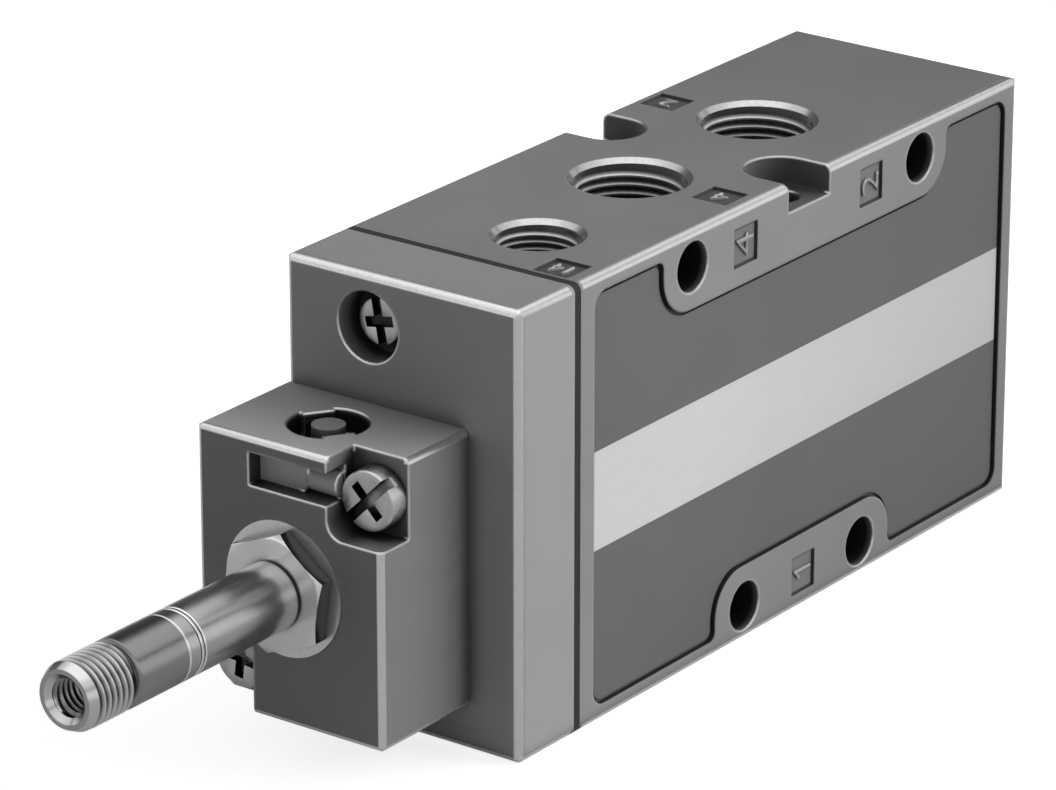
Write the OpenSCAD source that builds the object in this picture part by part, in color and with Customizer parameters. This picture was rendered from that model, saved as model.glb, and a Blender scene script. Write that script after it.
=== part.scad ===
// Pneumatic 5/2 solenoid valve with spring return: a spool valve body with an end cap,
// and a small pilot valve whose armature tube carries a plug-on coil.
// X runs along the spool, towards the spring end. Y runs across, and the labelled side is -Y.
// Z is up from the underside, where the valve is mounted. Sizes are in millimetres.

/* [Valve body] */
// Width of the body
body_w = 32; // [31:0.5:38]
// Height of the body
body_h = 53.3; // [52.5:0.1:58]
// Rounding of the outer edges
edge_r = 1; // [0.4:0.1:1.4]
// Radius of the bore that holds the spool
bore_r = 8.5; // [8.3:0.1:8.8]

/* [Ports] */
// Radius of the working ports, at the bottom of the G1/4 thread
port_r = 6.579; // [6:0.1:7]
// Width of the chamfer at a port's mouth
port_chamfer = 0.57; // [0.3:0.05:0.8]
// Depth of a working port
port_depth = 12; // [10:0.5:13]
// Distance between neighbouring chambers
chamber_pitch = 12.8; // [12.4:0.1:13.2]
// Radius of the passage from a port to its chamber
passage_r = 4.25; // [3:0.25:4.5]
// Radius of the pilot supply port, at the bottom of the G1/8 thread
signal_r = 4.864; // [4.5:0.1:5.2]
// Depth of the pilot supply port
signal_depth = 9.5; // [9:0.5:11]
// Distance from the cap end of the body to the pilot supply port
signal_in = 10; // [9.5:0.25:11]
// Distance from the middle of the body to the pilot supply port
signal_y = 3; // [2:0.25:4]

/* [Mounting holes] */
// Radius of the two upright bolt holes
bolt_r = 2.2; // [2:0.1:2.4]
// Distance from the middle of the body to an upright bolt hole
bolt_y = 12; // [11.8:0.1:12.4]
// Width of the slot that seats a bolt's head
slot_w = 8.5; // [7.5:0.25:9]
// Depth of that slot
slot_depth = 3.4; // [2.5:0.1:3.6]
// Radius of the four cross holes
cross_r = 3; // [2.5:0.1:3.1]
// Distance from a top port to the upper cross hole beside it
upper_off = 10.4; // [10.2:0.1:11.2]
// Depth of the upper cross holes below the top
upper_drop = 4.3; // [4:0.1:5]
// Distance from the middle of the body to a lower cross hole
lower_x = 12; // [11.6:0.1:12.4]
// Height of the lower cross holes
lower_z = 4.2; // [4:0.1:5]

/* [Side panels] */
// Depth of the cast panel on each side
panel_depth = 0.7; // [0.5:0.05:1]
// Rim left at each end of the panel
panel_rim_x = 2.7; // [2:0.1:4]
// Rim left above and below the panel
panel_rim_z = 2; // [1.5:0.1:3]
// Rounding of the panel's corners
panel_r = 2; // [1.2:0.1:2.5]
// Reach of the upper boss beyond its cross holes
upper_boss_end = 5.6; // [4.8:0.1:7.8]
// Height of the upper boss
upper_boss_h = 9.3; // [8.5:0.1:10.5]
// Reach of the lower boss beyond its cross holes
lower_boss_end = 6; // [5:0.1:8]
// Height of the lower boss
lower_boss_h = 9.3; // [8.5:0.1:10.5]
// Rounding of the bosses' corners
boss_r = 5; // [3:0.25:6]
// Thickness of the foil label
label_t = 0.35; // [0.2:0.05:0.45]
// Gap between the label and the panel's edge
label_gap = 0.45; // [0.3:0.05:0.7]
// Depth of the small fields that carry the port numbers
field_depth = 0.3; // [0.15:0.05:0.4]
// Side length of a number field
field_w = 4.6; // [4:0.1:5]

/* [End cap] */
// Thickness of the end cap
cap_t = 10.25; // [9.5:0.25:12]
// Rounding of the cap's front edges
cap_edge_r = 1.2; // [0.5:0.1:1.4]
// Thickness of the seal between the cap and the body
gasket_t = 0.9; // [0.6:0.1:1.2]
// Radius of the counterbore for a cap screw
cap_bore_r = 4.15; // [3.8:0.05:4.3]
// Depth of that counterbore
cap_bore_depth = 4; // [3.6:0.1:4.4]
// Place of the upper cap screw across the body
cap_screw_y = 4.5; // [4:0.25:5.5]
// Depth of the upper cap screw below the top
cap_screw_drop = 6.2; // [6:0.1:6.6]
// Height of the lower cap screw
cap_screw_low = 6; // [5.8:0.1:6.4]

/* [Screws] */
// Radius of a pilot screw's thread
screw_r = 2; // [1.8:0.05:2.05]
// Radius of a pilot screw's head
screw_head_r = 3.5; // [3.2:0.05:3.6]
// Height of a pilot screw's head
screw_head_h = 2.6; // [2.2:0.1:3]
// Radius of a cap screw's thread
cap_screw_r = 1.5; // [1.4:0.05:1.6]
// Radius of a cap screw's head
cap_head_r = 2.8; // [2.7:0.05:3.2]
// Height of a cap screw's head
cap_head_h = 2; // [1.8:0.1:2.4]
// Width of the slots in a screw's head
screw_slot_w = 1.1; // [0.8:0.05:1.3]
// Length of a cap screw under its head
cap_screw_l = 16; // [15:0.5:16.5]
// Length of a pilot screw under its head
pilot_screw_l = 18; // [17:0.5:18.5]

/* [Pilot housing] */
// Depth of the pilot housing along the valve
head_d = 15.75; // [15.5:0.25:17]
// Width of the pilot housing
head_w = 25.3; // [25:0.1:26]
// Height of the pilot housing
head_h = 32.8; // [32.4:0.1:34]
// Height of its underside above the valve's underside
head_low = 5.5; // [5.2:0.1:6.2]
// Rounding of its edges
head_edge_r = 0.8; // [0.4:0.1:1]
// Width of a screw notch
notch_w = 7.4; // [7.3:0.05:7.7]
// Height of a screw notch
notch_h = 9.3; // [9:0.1:9.6]
// Depth of a screw notch
notch_depth = 4.95; // [4.5:0.05:5.2]
// Rounding of a screw notch's inner corner
notch_r = 2; // [1:0.1:2.5]
// Length of the window beside the upper notch
window_w = 10.7; // [10:0.1:11]
// Height of the window
window_h = 3.85; // [3.5:0.05:4]
// Thickness of the bridge over the window
bridge_t = 1.8; // [1.5:0.1:2]
// Depth of the window
window_depth = 3.4; // [3:0.1:3.5]
// Length of the block in the window
latch_w = 6.7; // [6:0.1:7.2]
// Rounding of the block's lower free corner
latch_r = 1; // [0.6:0.1:1.2]
// Depth of the block's face behind the front
latch_back = 2; // [1.8:0.1:2.4]
// Radius of the round stem beside the block
stem_r = 1.5; // [1.2:0.05:1.6]

/* [Armature tube] */
// Outer radius of the armature tube
tube_r = 4; // [3.95:0.05:4.3]
// Wall of the armature tube
tube_wall = 0.5; // [0.4:0.05:0.55]
// Reach of the tube and its core beyond the housing
tube_reach = 36.75; // [35.5:0.25:40]
// Length of the fixed core that shows at the tube's end
core_show = 16; // [14:0.5:17]
// Length of the thread for the coil's nut
nut_thread_l = 8; // [7:0.5:9]
// Height of the chamfer at the tip of that thread
nut_thread_chamfer = 0.6; // [0.4:0.05:0.8]
// Length of that chamfer
nut_thread_lead = 1.2; // [0.8:0.1:1.5]
// Width of the relief groove behind that thread
relief_w = 0.5; // [0.3:0.05:0.8]
// Depth of the relief groove
relief_depth = 0.3; // [0.2:0.05:0.4]
// Width across the flats of the tube's hexagon
hex_flats = 12.6; // [12.4:0.1:14]
// Thickness of the hexagon
hex_t = 2.1; // [1.8:0.1:3]
// Turn of the hexagon
hex_turn = 8; // [0:1:60]
// Radius of the washer under the hexagon
washer_r = 7.9; // [7.6:0.1:8.2]
// Thickness of the washer
washer_t = 0.3; // [0.2:0.1:0.6]
// Radius of the screwed end of the tube
spigot_r = 6; // [5.8:0.05:6.2]
// Length of the screwed end inside the housing
spigot_l = 5; // [4.5:0.1:5.2]
// Radius of the exhaust port, at the bottom of its thread
exhaust_r = 2.5; // [2.2:0.1:2.6]
// Depth of the exhaust port
exhaust_depth = 8; // [6:0.5:10]
// Radius of the bore through the fixed core
core_bore_r = 0.8; // [0.6:0.05:1]
// Distance from the housing's middle to the tube, across
tube_off_y = 0.65; // [0.4:0.05:0.9]
// Distance from the housing's middle down to the tube
tube_drop = 0.2; // [0:0.05:0.4]

/* [Armature] */
// Stroke of the armature
armature_stroke = 0.8; // [0.6:0.05:1]
// Radius of the chamber in front of the pilot seat
chamber_r = 5; // [4.9:0.05:5.1]
// Depth of that chamber behind the tube's O-ring
chamber_l = 4; // [3.8:0.1:4.2]
// Radius of the armature's nose
nose_r = 2.6; // [2.2:0.1:2.8]
// Radius of the collar that holds the armature's spring
collar_r = 4.3; // [4.15:0.05:4.35]
// Thickness of the collar
collar_t = 1; // [0.8:0.1:1.1]
// Length of the armature's body, from the collar to the core
armature_l = 18.5; // [18:0.5:19]
// Radius of the seal discs in the armature
pad_r = 1.6; // [1.4:0.05:1.7]
// Thickness of the seal discs
pad_t = 1.6; // [1.2:0.1:2]
// Outer radius of the seat nozzle's stem
nozzle_r = 2; // [1.8:0.05:2.1]
// Height of the nozzle's seat above the chamber floor
seat_h = 0.6; // [0.4:0.05:0.8]
// Radius of the pilot air passages
pilot_bore_r = 1; // [0.8:0.05:1]

/* [Manual override] */
// Radius of the override's recess
override_r = 4.6; // [4.4:0.1:4.6]
// Depth of the recess
override_depth = 2.8; // [2.4:0.1:3]
// Distance from the middle to a land in the recess
land_in = 3.55; // [3.4:0.05:3.8]
// Length of a land
land_l = 3.7; // [3:0.1:4]
// Turn of the lands
land_turn = -35; // [-60:5:0]
// Distance from the housing's front to the override
override_in = 8.25; // [8.1:0.05:8.4]
// Radius of the override's button
button_r = 1.9; // [1.7:0.05:2]
// Depth of the button's top below the housing's top
button_drop = 0.1; // [0.05:0.05:0.6]
// Travel of the override
override_stroke = 1.4; // [1:0.1:1.5]
// Radius of the flange that keeps the button in
flange_r = 3; // [2.8:0.05:3.05]
// Radius of the button's stem
stem_pin_r = 1.5; // [1.4:0.05:1.55]

/* [Spool] */
// Stroke of the spool
spool_stroke = 4; // [3.6:0.1:4.1]
// Radius of the spool's lands
land_r = 5; // [4.8:0.05:5.1]
// Radius of the spool's necks
neck_r = 3; // [2.5:0.1:3.3]
// Width of a spool seal
seal_w = 2.2; // [2:0.1:2.4]
// Length of a neck
neck_l = 12.8; // [12.6:0.1:13]
// Gap between the resting pilot piston and the gasket's plane
rest_gap = 0.2; // [0.1:0.05:0.4]
// Depth of the retaining ring inside the body's end
ring_in = 1.1; // [0.9:0.1:2.5]
// Wall of a spacer cage
cage_wall = 1.6; // [1.3:0.1:2]
// Radius of a window in a cage
cage_window_r = 2.6; // [2:0.1:3]
// Thickness of the spacer behind the piston
spacer_t = 1.2; // [1:0.1:1.3]
// Length of the pilot piston
piston_l = 5.8; // [5.4:0.1:5.9]
// Length of the bush behind the last seal
bushing_l = 5.2; // [5:0.1:5.3]
// Length of the end plug
plug_l = 4; // [3.8:0.1:4.1]
// Radius of the spring bore in the spool
spring_bore_r = 3.4; // [3.2:0.05:3.6]
// Length of the return spring when fitted
return_spring_l = 16; // [15:0.5:17]
// Radius of the return spring's wire
return_wire_r = 0.4; // [0.3:0.05:0.45]

/* [Hidden] */
$fn = 64;

// Clearance of a fixed piece in its hole, and of a piece that slides
fit_gap = 0.05;
slide_gap = 0.05;
// Play of a rubber piece in its room
seal_play = 0.02;
// Clearance of a screw in a plain hole, and play of a moving piece at its end stop
screw_gap = 0.2;
end_play = 0.2;
// Room beyond the end of a screw
screw_room = 0.8;
// How far a cast-on form reaches into the wall that it stands on
sink = 0.2;
// Length by which a cut runs out past a face
over = 1;

// Stations of the spool and its seals, with the valve at rest
sleeve_r = bore_r - fit_gap;
seal_in_r = land_r + slide_gap;
stack_x = 2.5 * chamber_pitch + seal_w / 2;
cage_l = chamber_pitch - seal_w;
spacer_x0 = -stack_x - spacer_t;
piston_x0 = spacer_x0 - spool_stroke - end_play - piston_l;
piston_x1 = piston_x0 + piston_l;
spool_x0 = piston_x1 + end_play / 2;
bushing_x1 = stack_x + bushing_l;
spool_x1 = bushing_x1 - spool_stroke - 1.5 * end_play;
rest_neck_1 = -1.5 * chamber_pitch - spool_stroke / 2;
rest_neck_2 = 0.5 * chamber_pitch - spool_stroke / 2;
plug_x1 = bushing_x1 + plug_l;
ring_t = 1;
ring_x0 = plug_x1 + 2 * fit_gap;
ring_in_r = bore_r - ring_t;
ring_out_r = bore_r + 0.7;

// Planes across the valve, from the coil end to the spring end
body_x0 = piston_x0 - rest_gap;
body_x1 = ring_x0 + ring_t + ring_in;
cap_x1 = body_x0 - gasket_t;
cap_x0 = cap_x1 - cap_t;
head_x0 = cap_x0 - head_d;
tube_x0 = head_x0 - tube_reach;

// Axis of the spool, and the upper cross holes
bore_z = body_h / 2;
upper_x = chamber_pitch + upper_off;

// Edges and middle of the pilot housing
head_y1 = body_w / 2;
head_y0 = head_y1 - head_w;
head_z0 = head_low;
head_z1 = head_low + head_h;
head_mid_y = (head_y0 + head_y1) / 2;
head_mid_z = (head_z0 + head_z1) / 2;
tube_y = head_mid_y + tube_off_y;
tube_z = head_mid_z - tube_drop;

// Pilot screws, each in the middle of its notch's free corner
pilot_screw_dy = head_w / 2 - notch_w / 2;
pilot_screw_lift = 0.25;
pilot_screw_dz = head_h / 2 - notch_h / 2 - pilot_screw_lift;
notch_x = head_x0 + notch_depth;

// Pilot air passages
signal_x = body_x0 + signal_in;
signal_floor_z = body_h - signal_depth;
channel_z = signal_floor_z + pilot_bore_r;
feed_off_y = 0.8;
feed_drop = 2.9;
output_off_y = 2.6;
output_drop = 2;
feed_y = tube_y + feed_off_y;
feed_z = head_z1 - feed_drop;
output_y = tube_y - output_off_y;
output_z = tube_z - output_drop;
channel_depth = 1.2;
pilot_gasket_t = 0.8;
pilot_gasket_w = 11;
pilot_gasket_rim = 1.8;
pilot_gasket_z1 = feed_z + pilot_gasket_rim;
pilot_gasket_z0 = output_z - pilot_bore_r - pilot_gasket_rim;

// Stations inside the pilot housing, from its rear face forwards
pilot_gasket_x = cap_x0 - pilot_gasket_t;
channel_x = pilot_gasket_x - channel_depth;
spigot_x = head_x0 + spigot_l;
tube_seal_r = 0.7;
seal_room_x = spigot_x + 2 * tube_seal_r;
chamber_x = seal_room_x + chamber_l;
seat_x = chamber_x - seat_h;

// Stations of the armature when it rests on its seat
collar_out = 0.4;
collar_x1 = spigot_x + collar_out;
collar_x0 = collar_x1 - collar_t;
armature_x0 = collar_x0 - armature_l;
core_x1 = armature_x0 - armature_stroke;
tube_inner_r = tube_r - tube_wall;
armature_r = tube_inner_r - slide_gap - seal_play;
core_joint_x = tube_x0 + core_show;
hex_x1 = head_x0 - washer_t;
hex_x0 = hex_x1 - hex_t;
armature_wire_r = 0.3;
spring_room_r = collar_r + armature_wire_r;
spring_room_in = 0.9;
spring_room_x = head_x0 + spring_room_in;
override_wire_r = 0.25;

// Stations of the override, from the top down
override_x = head_x0 + override_in;
override_off_y = 0.2;
override_y = tube_y + override_off_y;
override_floor_z = head_z1 - override_depth;
bush_t = 1.2;
bush_r = 3.9;
flange_t = 0.8;
flange_z1 = override_floor_z - bush_t;
flange_z0 = flange_z1 - flange_t;
override_spring_l = 3.2;
spring_seat_z = flange_z0 - override_spring_l;
spring_seat_r = flange_r + end_play;
tip_r = 0.9;
tip_rise = 0.15;
tip_z = tube_z + chamber_r + tip_rise;
pin_seal_drop = 1.2;
pin_seal_z = spring_seat_z - pin_seal_drop;
pin_seal_r = 0.26;

// Basic forms: bars and rounded blocks along each axis
module bar_x(x0, x1, r, y, z) {
    translate([x0, y, z]) rotate([0, 90, 0]) cylinder(r = r, h = x1 - x0);
}

module bar_y(y0, y1, r, x, z) {
    translate([x, y0, z]) rotate([-90, 0, 0]) cylinder(r = r, h = y1 - y0);
}

module bar_z(z0, z1, r, x, y) {
    translate([x, y, z0]) cylinder(r = r, h = z1 - z0);
}

module box(x0, x1, y0, y1, z0, z1) {
    translate([x0, y0, z0]) cube([x1 - x0, y1 - y0, z1 - z0]);
}

module rounded_rect(x0, x1, y0, y1, r) {
    translate([x0 + r, y0]) square([x1 - x0 - 2 * r, y1 - y0]);
    translate([x0, y0 + r]) square([x1 - x0, y1 - y0 - 2 * r]);
    for (x = [x0 + r, x1 - r], y = [y0 + r, y1 - r]) translate([x, y]) circle(r);
}

// A block with its four long edges rounded, lying along X, along Y or upright
module block_x(x0, x1, y0, y1, z0, z1, r) {
    translate([x0, 0, 0]) rotate([90, 0, 90]) linear_extrude(x1 - x0)
        rounded_rect(y0, y1, z0, z1, r);
}

module block_y(x0, x1, y0, y1, z0, z1, r) {
    translate([0, y1, 0]) rotate([90, 0, 0]) linear_extrude(y1 - y0)
        rounded_rect(x0, x1, z0, z1, r);
}

module block_z(x0, x1, y0, y1, z0, z1, r) {
    translate([0, 0, z0]) linear_extrude(z1 - z0) rounded_rect(x0, x1, y0, y1, r);
}

// A ring or tube along X
module tube_x(x0, x1, r_out, r_in, y, z) {
    difference() {
        bar_x(x0, x1, r_out, y, z);
        bar_x(x0 - over, x1 + over, r_in, y, z);
    }
}

// A torus that lies round an axis along X
module o_ring_x(x, r_mid, r_wire, y, z) {
    translate([x, y, z]) rotate([0, 90, 0]) rotate_extrude() translate([r_mid, 0]) circle(r_wire);
}

// A coil spring that stands on its own axis from z = 0, with round wire swept along a helix
module coil_spring(coil_r, wire_r, length, turns) {
    steps = 14;
    sides = 6;
    rings = turns * steps;
    rise = (length - 2 * wire_r) / rings;
    points = [for (i = [0:rings], k = [0:sides - 1])
        let (turn = 360 * i / steps, around = 360 * k / sides, r = coil_r + wire_r * cos(around))
        [r * cos(turn), r * sin(turn), wire_r * (1 + sin(around)) + rise * i]];
    function at(i, k) = i * sides + k % sides;
    walls = [for (i = [0:rings - 1], k = [0:sides - 1], half = [0, 1])
        half == 0 ? [at(i, k), at(i, k + 1), at(i + 1, k + 1)]
                  : [at(i, k), at(i + 1, k + 1), at(i + 1, k)]];
    ends = [[for (k = [sides - 1:-1:0]) at(0, k)], [for (k = [0:sides - 1]) at(rings, k)]];
    polyhedron(points, concat(walls, ends), convexity = 10);
}

// A cheese-head screw with a combined slot, its head's seat at z = 0 and its shank upwards
module cheese_screw(head_r, head_h, r, length) {
    cross_slot_l = 1.3 * head_r;
    difference() {
        union() {
            translate([0, 0, -head_h]) cylinder(r = head_r, h = head_h);
            cylinder(r = r - fit_gap, h = length);
        }
        translate([-head_r - over, -screw_slot_w / 2, -head_h - over])
            cube([2 * (head_r + over), screw_slot_w, head_h / 2 + over]);
        translate([-screw_slot_w / 2, -cross_slot_l / 2, -head_h - over])
            cube([screw_slot_w, cross_slot_l, head_h / 2 + over]);
    }
}

// A port that is bored down from its mouth at z = 0, with a narrower passage below it
module port_cut(r, depth, reach) {
    translate([0, 0, -depth]) cylinder(r = r, h = depth + over);
    translate([0, 0, -port_chamfer]) cylinder(r1 = r, r2 = r + port_chamfer + over, h = port_chamfer + over);
    translate([0, 0, -reach]) cylinder(r = passage_r, h = reach);
}

// The outline of a side panel, drawn inside its edge by the given inset
module panel_outline(inset) {
    x0 = body_x0 + panel_rim_x + inset;
    x1 = body_x1 - panel_rim_x - inset;
    z0 = panel_rim_z + inset;
    z1 = body_h - panel_rim_z - inset;
    upper_x1 = upper_x + upper_boss_end + inset;
    upper_z0 = body_h - upper_boss_h - inset;
    lower_x1 = lower_x + lower_boss_end + inset;
    lower_z1 = lower_boss_h + inset;
    difference() {
        rounded_rect(x0, x1, z0, z1, panel_r - inset);
        rounded_rect(-upper_x1, upper_x1, upper_z0, body_h + 2 * boss_r, boss_r + inset);
        rounded_rect(-lower_x1, lower_x1, -2 * boss_r, lower_z1, boss_r + inset);
        for (side = [-1, 1]) {
            panel_corner(side, upper_x1, z1, -1, panel_r / 2);
            panel_corner(side, lower_x1, z0, 1, panel_r / 2);
        }
    }
}

// What rounds the sharp corner of the panel where a boss runs into its edge
module panel_corner(side, x, z, way, r) {
    difference() {
        translate([side * (x + r / 2), z + way * r / 2]) square(r, center = true);
        translate([side * (x + r), z + way * r]) circle(r);
    }
}

// The upper and lower screws of the pilot housing and of the cap
module each_pilot_screw() {
    for (side = [-1, 1])
        translate([0, head_mid_y + side * pilot_screw_dy, head_mid_z - side * pilot_screw_dz]) children();
}

module each_cap_screw() {
    translate([0, cap_screw_y, body_h - cap_screw_drop]) children();
    translate([0, 0, cap_screw_low]) children();
}

// Body casting, bored along its length for the spool
module valve_body() {
    color("#7d7e80") difference() {
        intersection() {
            block_x(body_x0, body_x1 + over, -body_w / 2, body_w / 2, 0, body_h, edge_r);
            block_y(body_x0 - over, body_x1, -body_w, body_w, 0, body_h, edge_r);
            block_z(body_x0 - over, body_x1, -body_w / 2, body_w / 2, -over, body_h + over, edge_r);
        }
        bar_x(body_x0 - over, body_x1 + over, bore_r, 0, bore_z);
        bar_x(ring_x0 - fit_gap, ring_x0 + ring_t + fit_gap, ring_out_r + fit_gap, 0, bore_z);
        for (x = [-chamber_pitch, chamber_pitch])
            translate([x, 0, body_h]) port_cut(port_r, port_depth, body_h - bore_z);
        for (x = [-2 * chamber_pitch, 0, 2 * chamber_pitch])
            translate([x, 0, 0]) mirror([0, 0, 1]) port_cut(port_r, port_depth, bore_z);
        signal_port_cut();
        bolt_cuts();
        for (x = [-upper_x, upper_x])
            bar_y(-body_w, body_w, cross_r, x, body_h - upper_drop);
        for (x = [-lower_x, lower_x]) bar_y(-body_w, body_w, cross_r, x, lower_z);
        for (y = [-body_w / 2 + panel_depth, body_w / 2 + over])
            translate([0, y, 0]) rotate([90, 0, 0]) linear_extrude(panel_depth + over) panel_outline(0);
        number_fields();
        each_cap_screw() bar_x(body_x0 - over, cap_screw_x1 + screw_room, cap_screw_r, 0, 0);
    }
}

// End of a cap screw inside the body
cap_screw_x1 = cap_x0 + cap_bore_depth + cap_screw_l;

// Pilot supply port with its cross channel to the cap
module signal_port_cut() {
    translate([signal_x, -signal_y, body_h]) {
        translate([0, 0, -signal_depth]) cylinder(r = signal_r, h = signal_depth + over);
        translate([0, 0, -port_chamfer])
            cylinder(r1 = signal_r, r2 = signal_r + port_chamfer + over, h = port_chamfer + over);
    }
    bar_x(body_x0 - over, signal_x, pilot_bore_r, -signal_y, channel_z);
}

// Upright bolt holes, each with an open slot for the bolt's head
module bolt_cuts() {
    for (side = [-1, 1]) {
        bar_z(-over, body_h + over, bolt_r, 0, side * bolt_y);
        bar_z(body_h - slot_depth, body_h + over, slot_w / 2, 0, side * bolt_y);
        slot_mid = side * (bolt_y + body_w) / 2;
        translate([-slot_w / 2, slot_mid - (body_w - bolt_y) / 2, body_h - slot_depth])
            cube([slot_w, body_w - bolt_y, slot_depth + over]);
    }
}

// Shallow fields beside the ports, where the port numbers stand
number_drop = 4.7;
number_z = body_h - number_drop;
number_low_z = 4.3;
top_number_y = 11.8;
signal_number_out = 7.2;
signal_number_in = 0.3;
near_number_in = 0.8;
far_number_in = 1;
far_number_out = 0.4;
module number_fields() {
    for (p = [[-chamber_pitch, number_z], [chamber_pitch, number_z], [0, number_low_z]])
        box(p[0] - field_w / 2, p[0] + field_w / 2, -body_w / 2 - over, -body_w / 2 + field_depth,
            p[1] - field_w / 2, p[1] + field_w / 2);
    for (p = [[signal_x - signal_number_out, -top_number_y + signal_number_in],
              [-chamber_pitch + near_number_in, -top_number_y],
              [chamber_pitch - far_number_in, top_number_y + far_number_out]])
        box(p[0] - field_w / 2, p[0] + field_w / 2, p[1] - field_w / 2, p[1] + field_w / 2,
            body_h - field_depth, body_h + over);
}

// Foil label that lies in the panel of one side
module side_label() {
    color("#66676a") translate([0, -body_w / 2 + panel_depth, 0]) rotate([90, 0, 0])
        linear_extrude(label_t) panel_outline(label_gap);
}

// Flat rubber seal between the cap and the body
module cap_gasket() {
    color("#26272a") difference() {
        block_x(cap_x1, body_x0, -body_w / 2, body_w / 2, 0, body_h, edge_r);
        bar_x(cap_x1 - over, body_x0 + over, bore_r, 0, bore_z);
        bar_x(cap_x1 - over, body_x0 + over, pilot_bore_r, -signal_y, channel_z);
        each_cap_screw() bar_x(cap_x1 - over, body_x0 + over, cap_screw_r + screw_gap, 0, 0);
    }
}

// Straight channel milled into a face that looks along +X, round at both ends
module channel(x0, x1, y0, z0, y1, z1) {
    run = norm([y1 - y0, z1 - z0]);
    bar_x(x0, x1, pilot_bore_r, y0, z0);
    bar_x(x0, x1, pilot_bore_r, y1, z1);
    translate([x0, y0, z0]) rotate([atan2(z1 - z0, y1 - y0), 0, 0])
        translate([0, 0, -pilot_bore_r]) cube([x1 - x0, run, 2 * pilot_bore_r]);
}

// End cap over the pilot piston, which also carries the pilot valve
module end_cap() {
    color("#8e8f91") difference() {
        intersection() {
            block_x(cap_x0 - over, cap_x1, -body_w / 2, body_w / 2, 0, body_h, edge_r);
            block_y(cap_x0, cap_x1 + 2 * cap_edge_r, -body_w, body_w, 0, body_h, cap_edge_r);
            block_z(cap_x0, cap_x1 + 2 * cap_edge_r, -body_w / 2, body_w / 2, -over, body_h + over,
                cap_edge_r);
        }
        each_cap_screw() {
            bar_x(cap_x0 - over, cap_x0 + cap_bore_depth, cap_bore_r, 0, 0);
            bar_x(cap_x0, cap_x1 + over, cap_screw_r + screw_gap, 0, 0);
        }
        each_pilot_screw() bar_x(cap_x0 - over, pilot_screw_x1 + screw_room, screw_r, 0, 0);
        bar_x(cap_x0 - over, cap_x1 + over, pilot_bore_r, output_y, output_z);
        bar_x(cap_x0 - over, cap_x1, pilot_bore_r, feed_y, feed_z);
        channel(cap_x1 - channel_depth, cap_x1 + over, -signal_y, channel_z, feed_y, feed_z);
    }
}

// Two cheese-head screws that hold the cap on the body
module cap_screws() {
    color("#c9cacc") each_cap_screw()
        translate([cap_x0 + cap_bore_depth, 0, 0]) rotate([0, 90, 0])
            cheese_screw(cap_head_r, cap_head_h, cap_screw_r, cap_screw_l);
}

// End of a pilot screw inside the cap
pilot_screw_x1 = notch_x + pilot_screw_l;

// Pilot valve housing with two screw notches, a window and the override's recess
module pilot_housing() {
    color("#7b7c7e") {
        difference() {
            intersection() {
                block_x(head_x0 - over, cap_x0, head_y0, head_y1, head_z0, head_z1, head_edge_r);
                block_y(head_x0, cap_x0 + 2 * head_edge_r, head_y0 - over, head_y1 + over,
                    head_z0, head_z1, head_edge_r);
                block_z(head_x0, cap_x0 + 2 * head_edge_r, head_y0, head_y1,
                    head_z0 - over, head_z1 + over, head_edge_r);
            }
            for (turn = [0, 180])
                translate([0, head_mid_y, head_mid_z]) rotate([turn, 0, 0])
                    block_x(head_x0 - over, notch_x, -head_w / 2 - notch_w, -head_w / 2 + notch_w,
                        head_h / 2 - notch_h, head_h / 2 + notch_h, notch_r);
            window_cut();
            override_cut();
            each_pilot_screw() bar_x(notch_x - over, cap_x0 + over, screw_r + screw_gap, 0, 0);
            bar_x(head_x0 - over, seal_room_x, spigot_r + fit_gap, tube_y, tube_z);
            bar_x(head_x0, chamber_x, chamber_r, tube_y, tube_z);
            bar_x(chamber_x - over, cap_x0, nozzle_r + fit_gap, tube_y, tube_z);
            bar_x(chamber_x - over, cap_x0, pilot_bore_r, output_y, output_z);
            channel(channel_x, cap_x0, feed_y, feed_z, tube_y, tube_z);
            gasket_form(pilot_gasket_x, cap_x0 + over, 0);
        }
        latch_block();
    }
}

// Window in the front face, open to the upper notch
window_y0 = head_y0 + notch_w;
window_z1 = head_z1 - bridge_t;
module window_cut() {
    box(head_x0 - over, head_x0 + window_depth, window_y0 - over, window_y0 + window_w,
        window_z1 - window_h, window_z1);
}

// Cast block and half-round stem on the back of the window
module latch_block() {
    latch_y1 = window_y0 + window_w;
    latch_y0 = latch_y1 - latch_w;
    back_x = head_x0 + window_depth;
    window_z0 = window_z1 - window_h;
    hull() {
        bar_x(head_x0 + latch_back, back_x + sink, latch_r, latch_y0 + latch_r, window_z0 + latch_r);
        box(head_x0 + latch_back, back_x + sink, latch_y0, latch_y1, window_z1 - latch_r, window_z1 + sink);
        box(head_x0 + latch_back, back_x + sink, latch_y0 + latch_r, latch_y1 + sink, window_z0 - sink,
            window_z1 + sink);
    }
    intersection() {
        bar_y(window_y0 + sink, latch_y0 + sink, stem_r, back_x, window_z0 + stem_r);
        box(head_x0, back_x + sink, window_y0, latch_y1, window_z0 - sink, window_z1);
    }
}

// Stepped bore of the override, from the recess on top down to the armature's chamber
module override_cut() {
    difference() {
        bar_z(override_floor_z, head_z1 + over, override_r, override_x, override_y);
        translate([override_x, override_y, 0]) rotate([0, 0, land_turn]) for (side = [-1, 1])
            translate([-land_l / 2, side > 0 ? land_in : -land_in - override_r, 0])
                cube([land_l, override_r, head_z1]);
    }
    bar_z(flange_z1, head_z1 - over, bush_r, override_x, override_y);
    bar_z(spring_seat_z, head_z1 - over, spring_seat_r, override_x, override_y);
    bar_z(tube_z, head_z1 - over, stem_pin_r + slide_gap, override_x, override_y);
}

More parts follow.
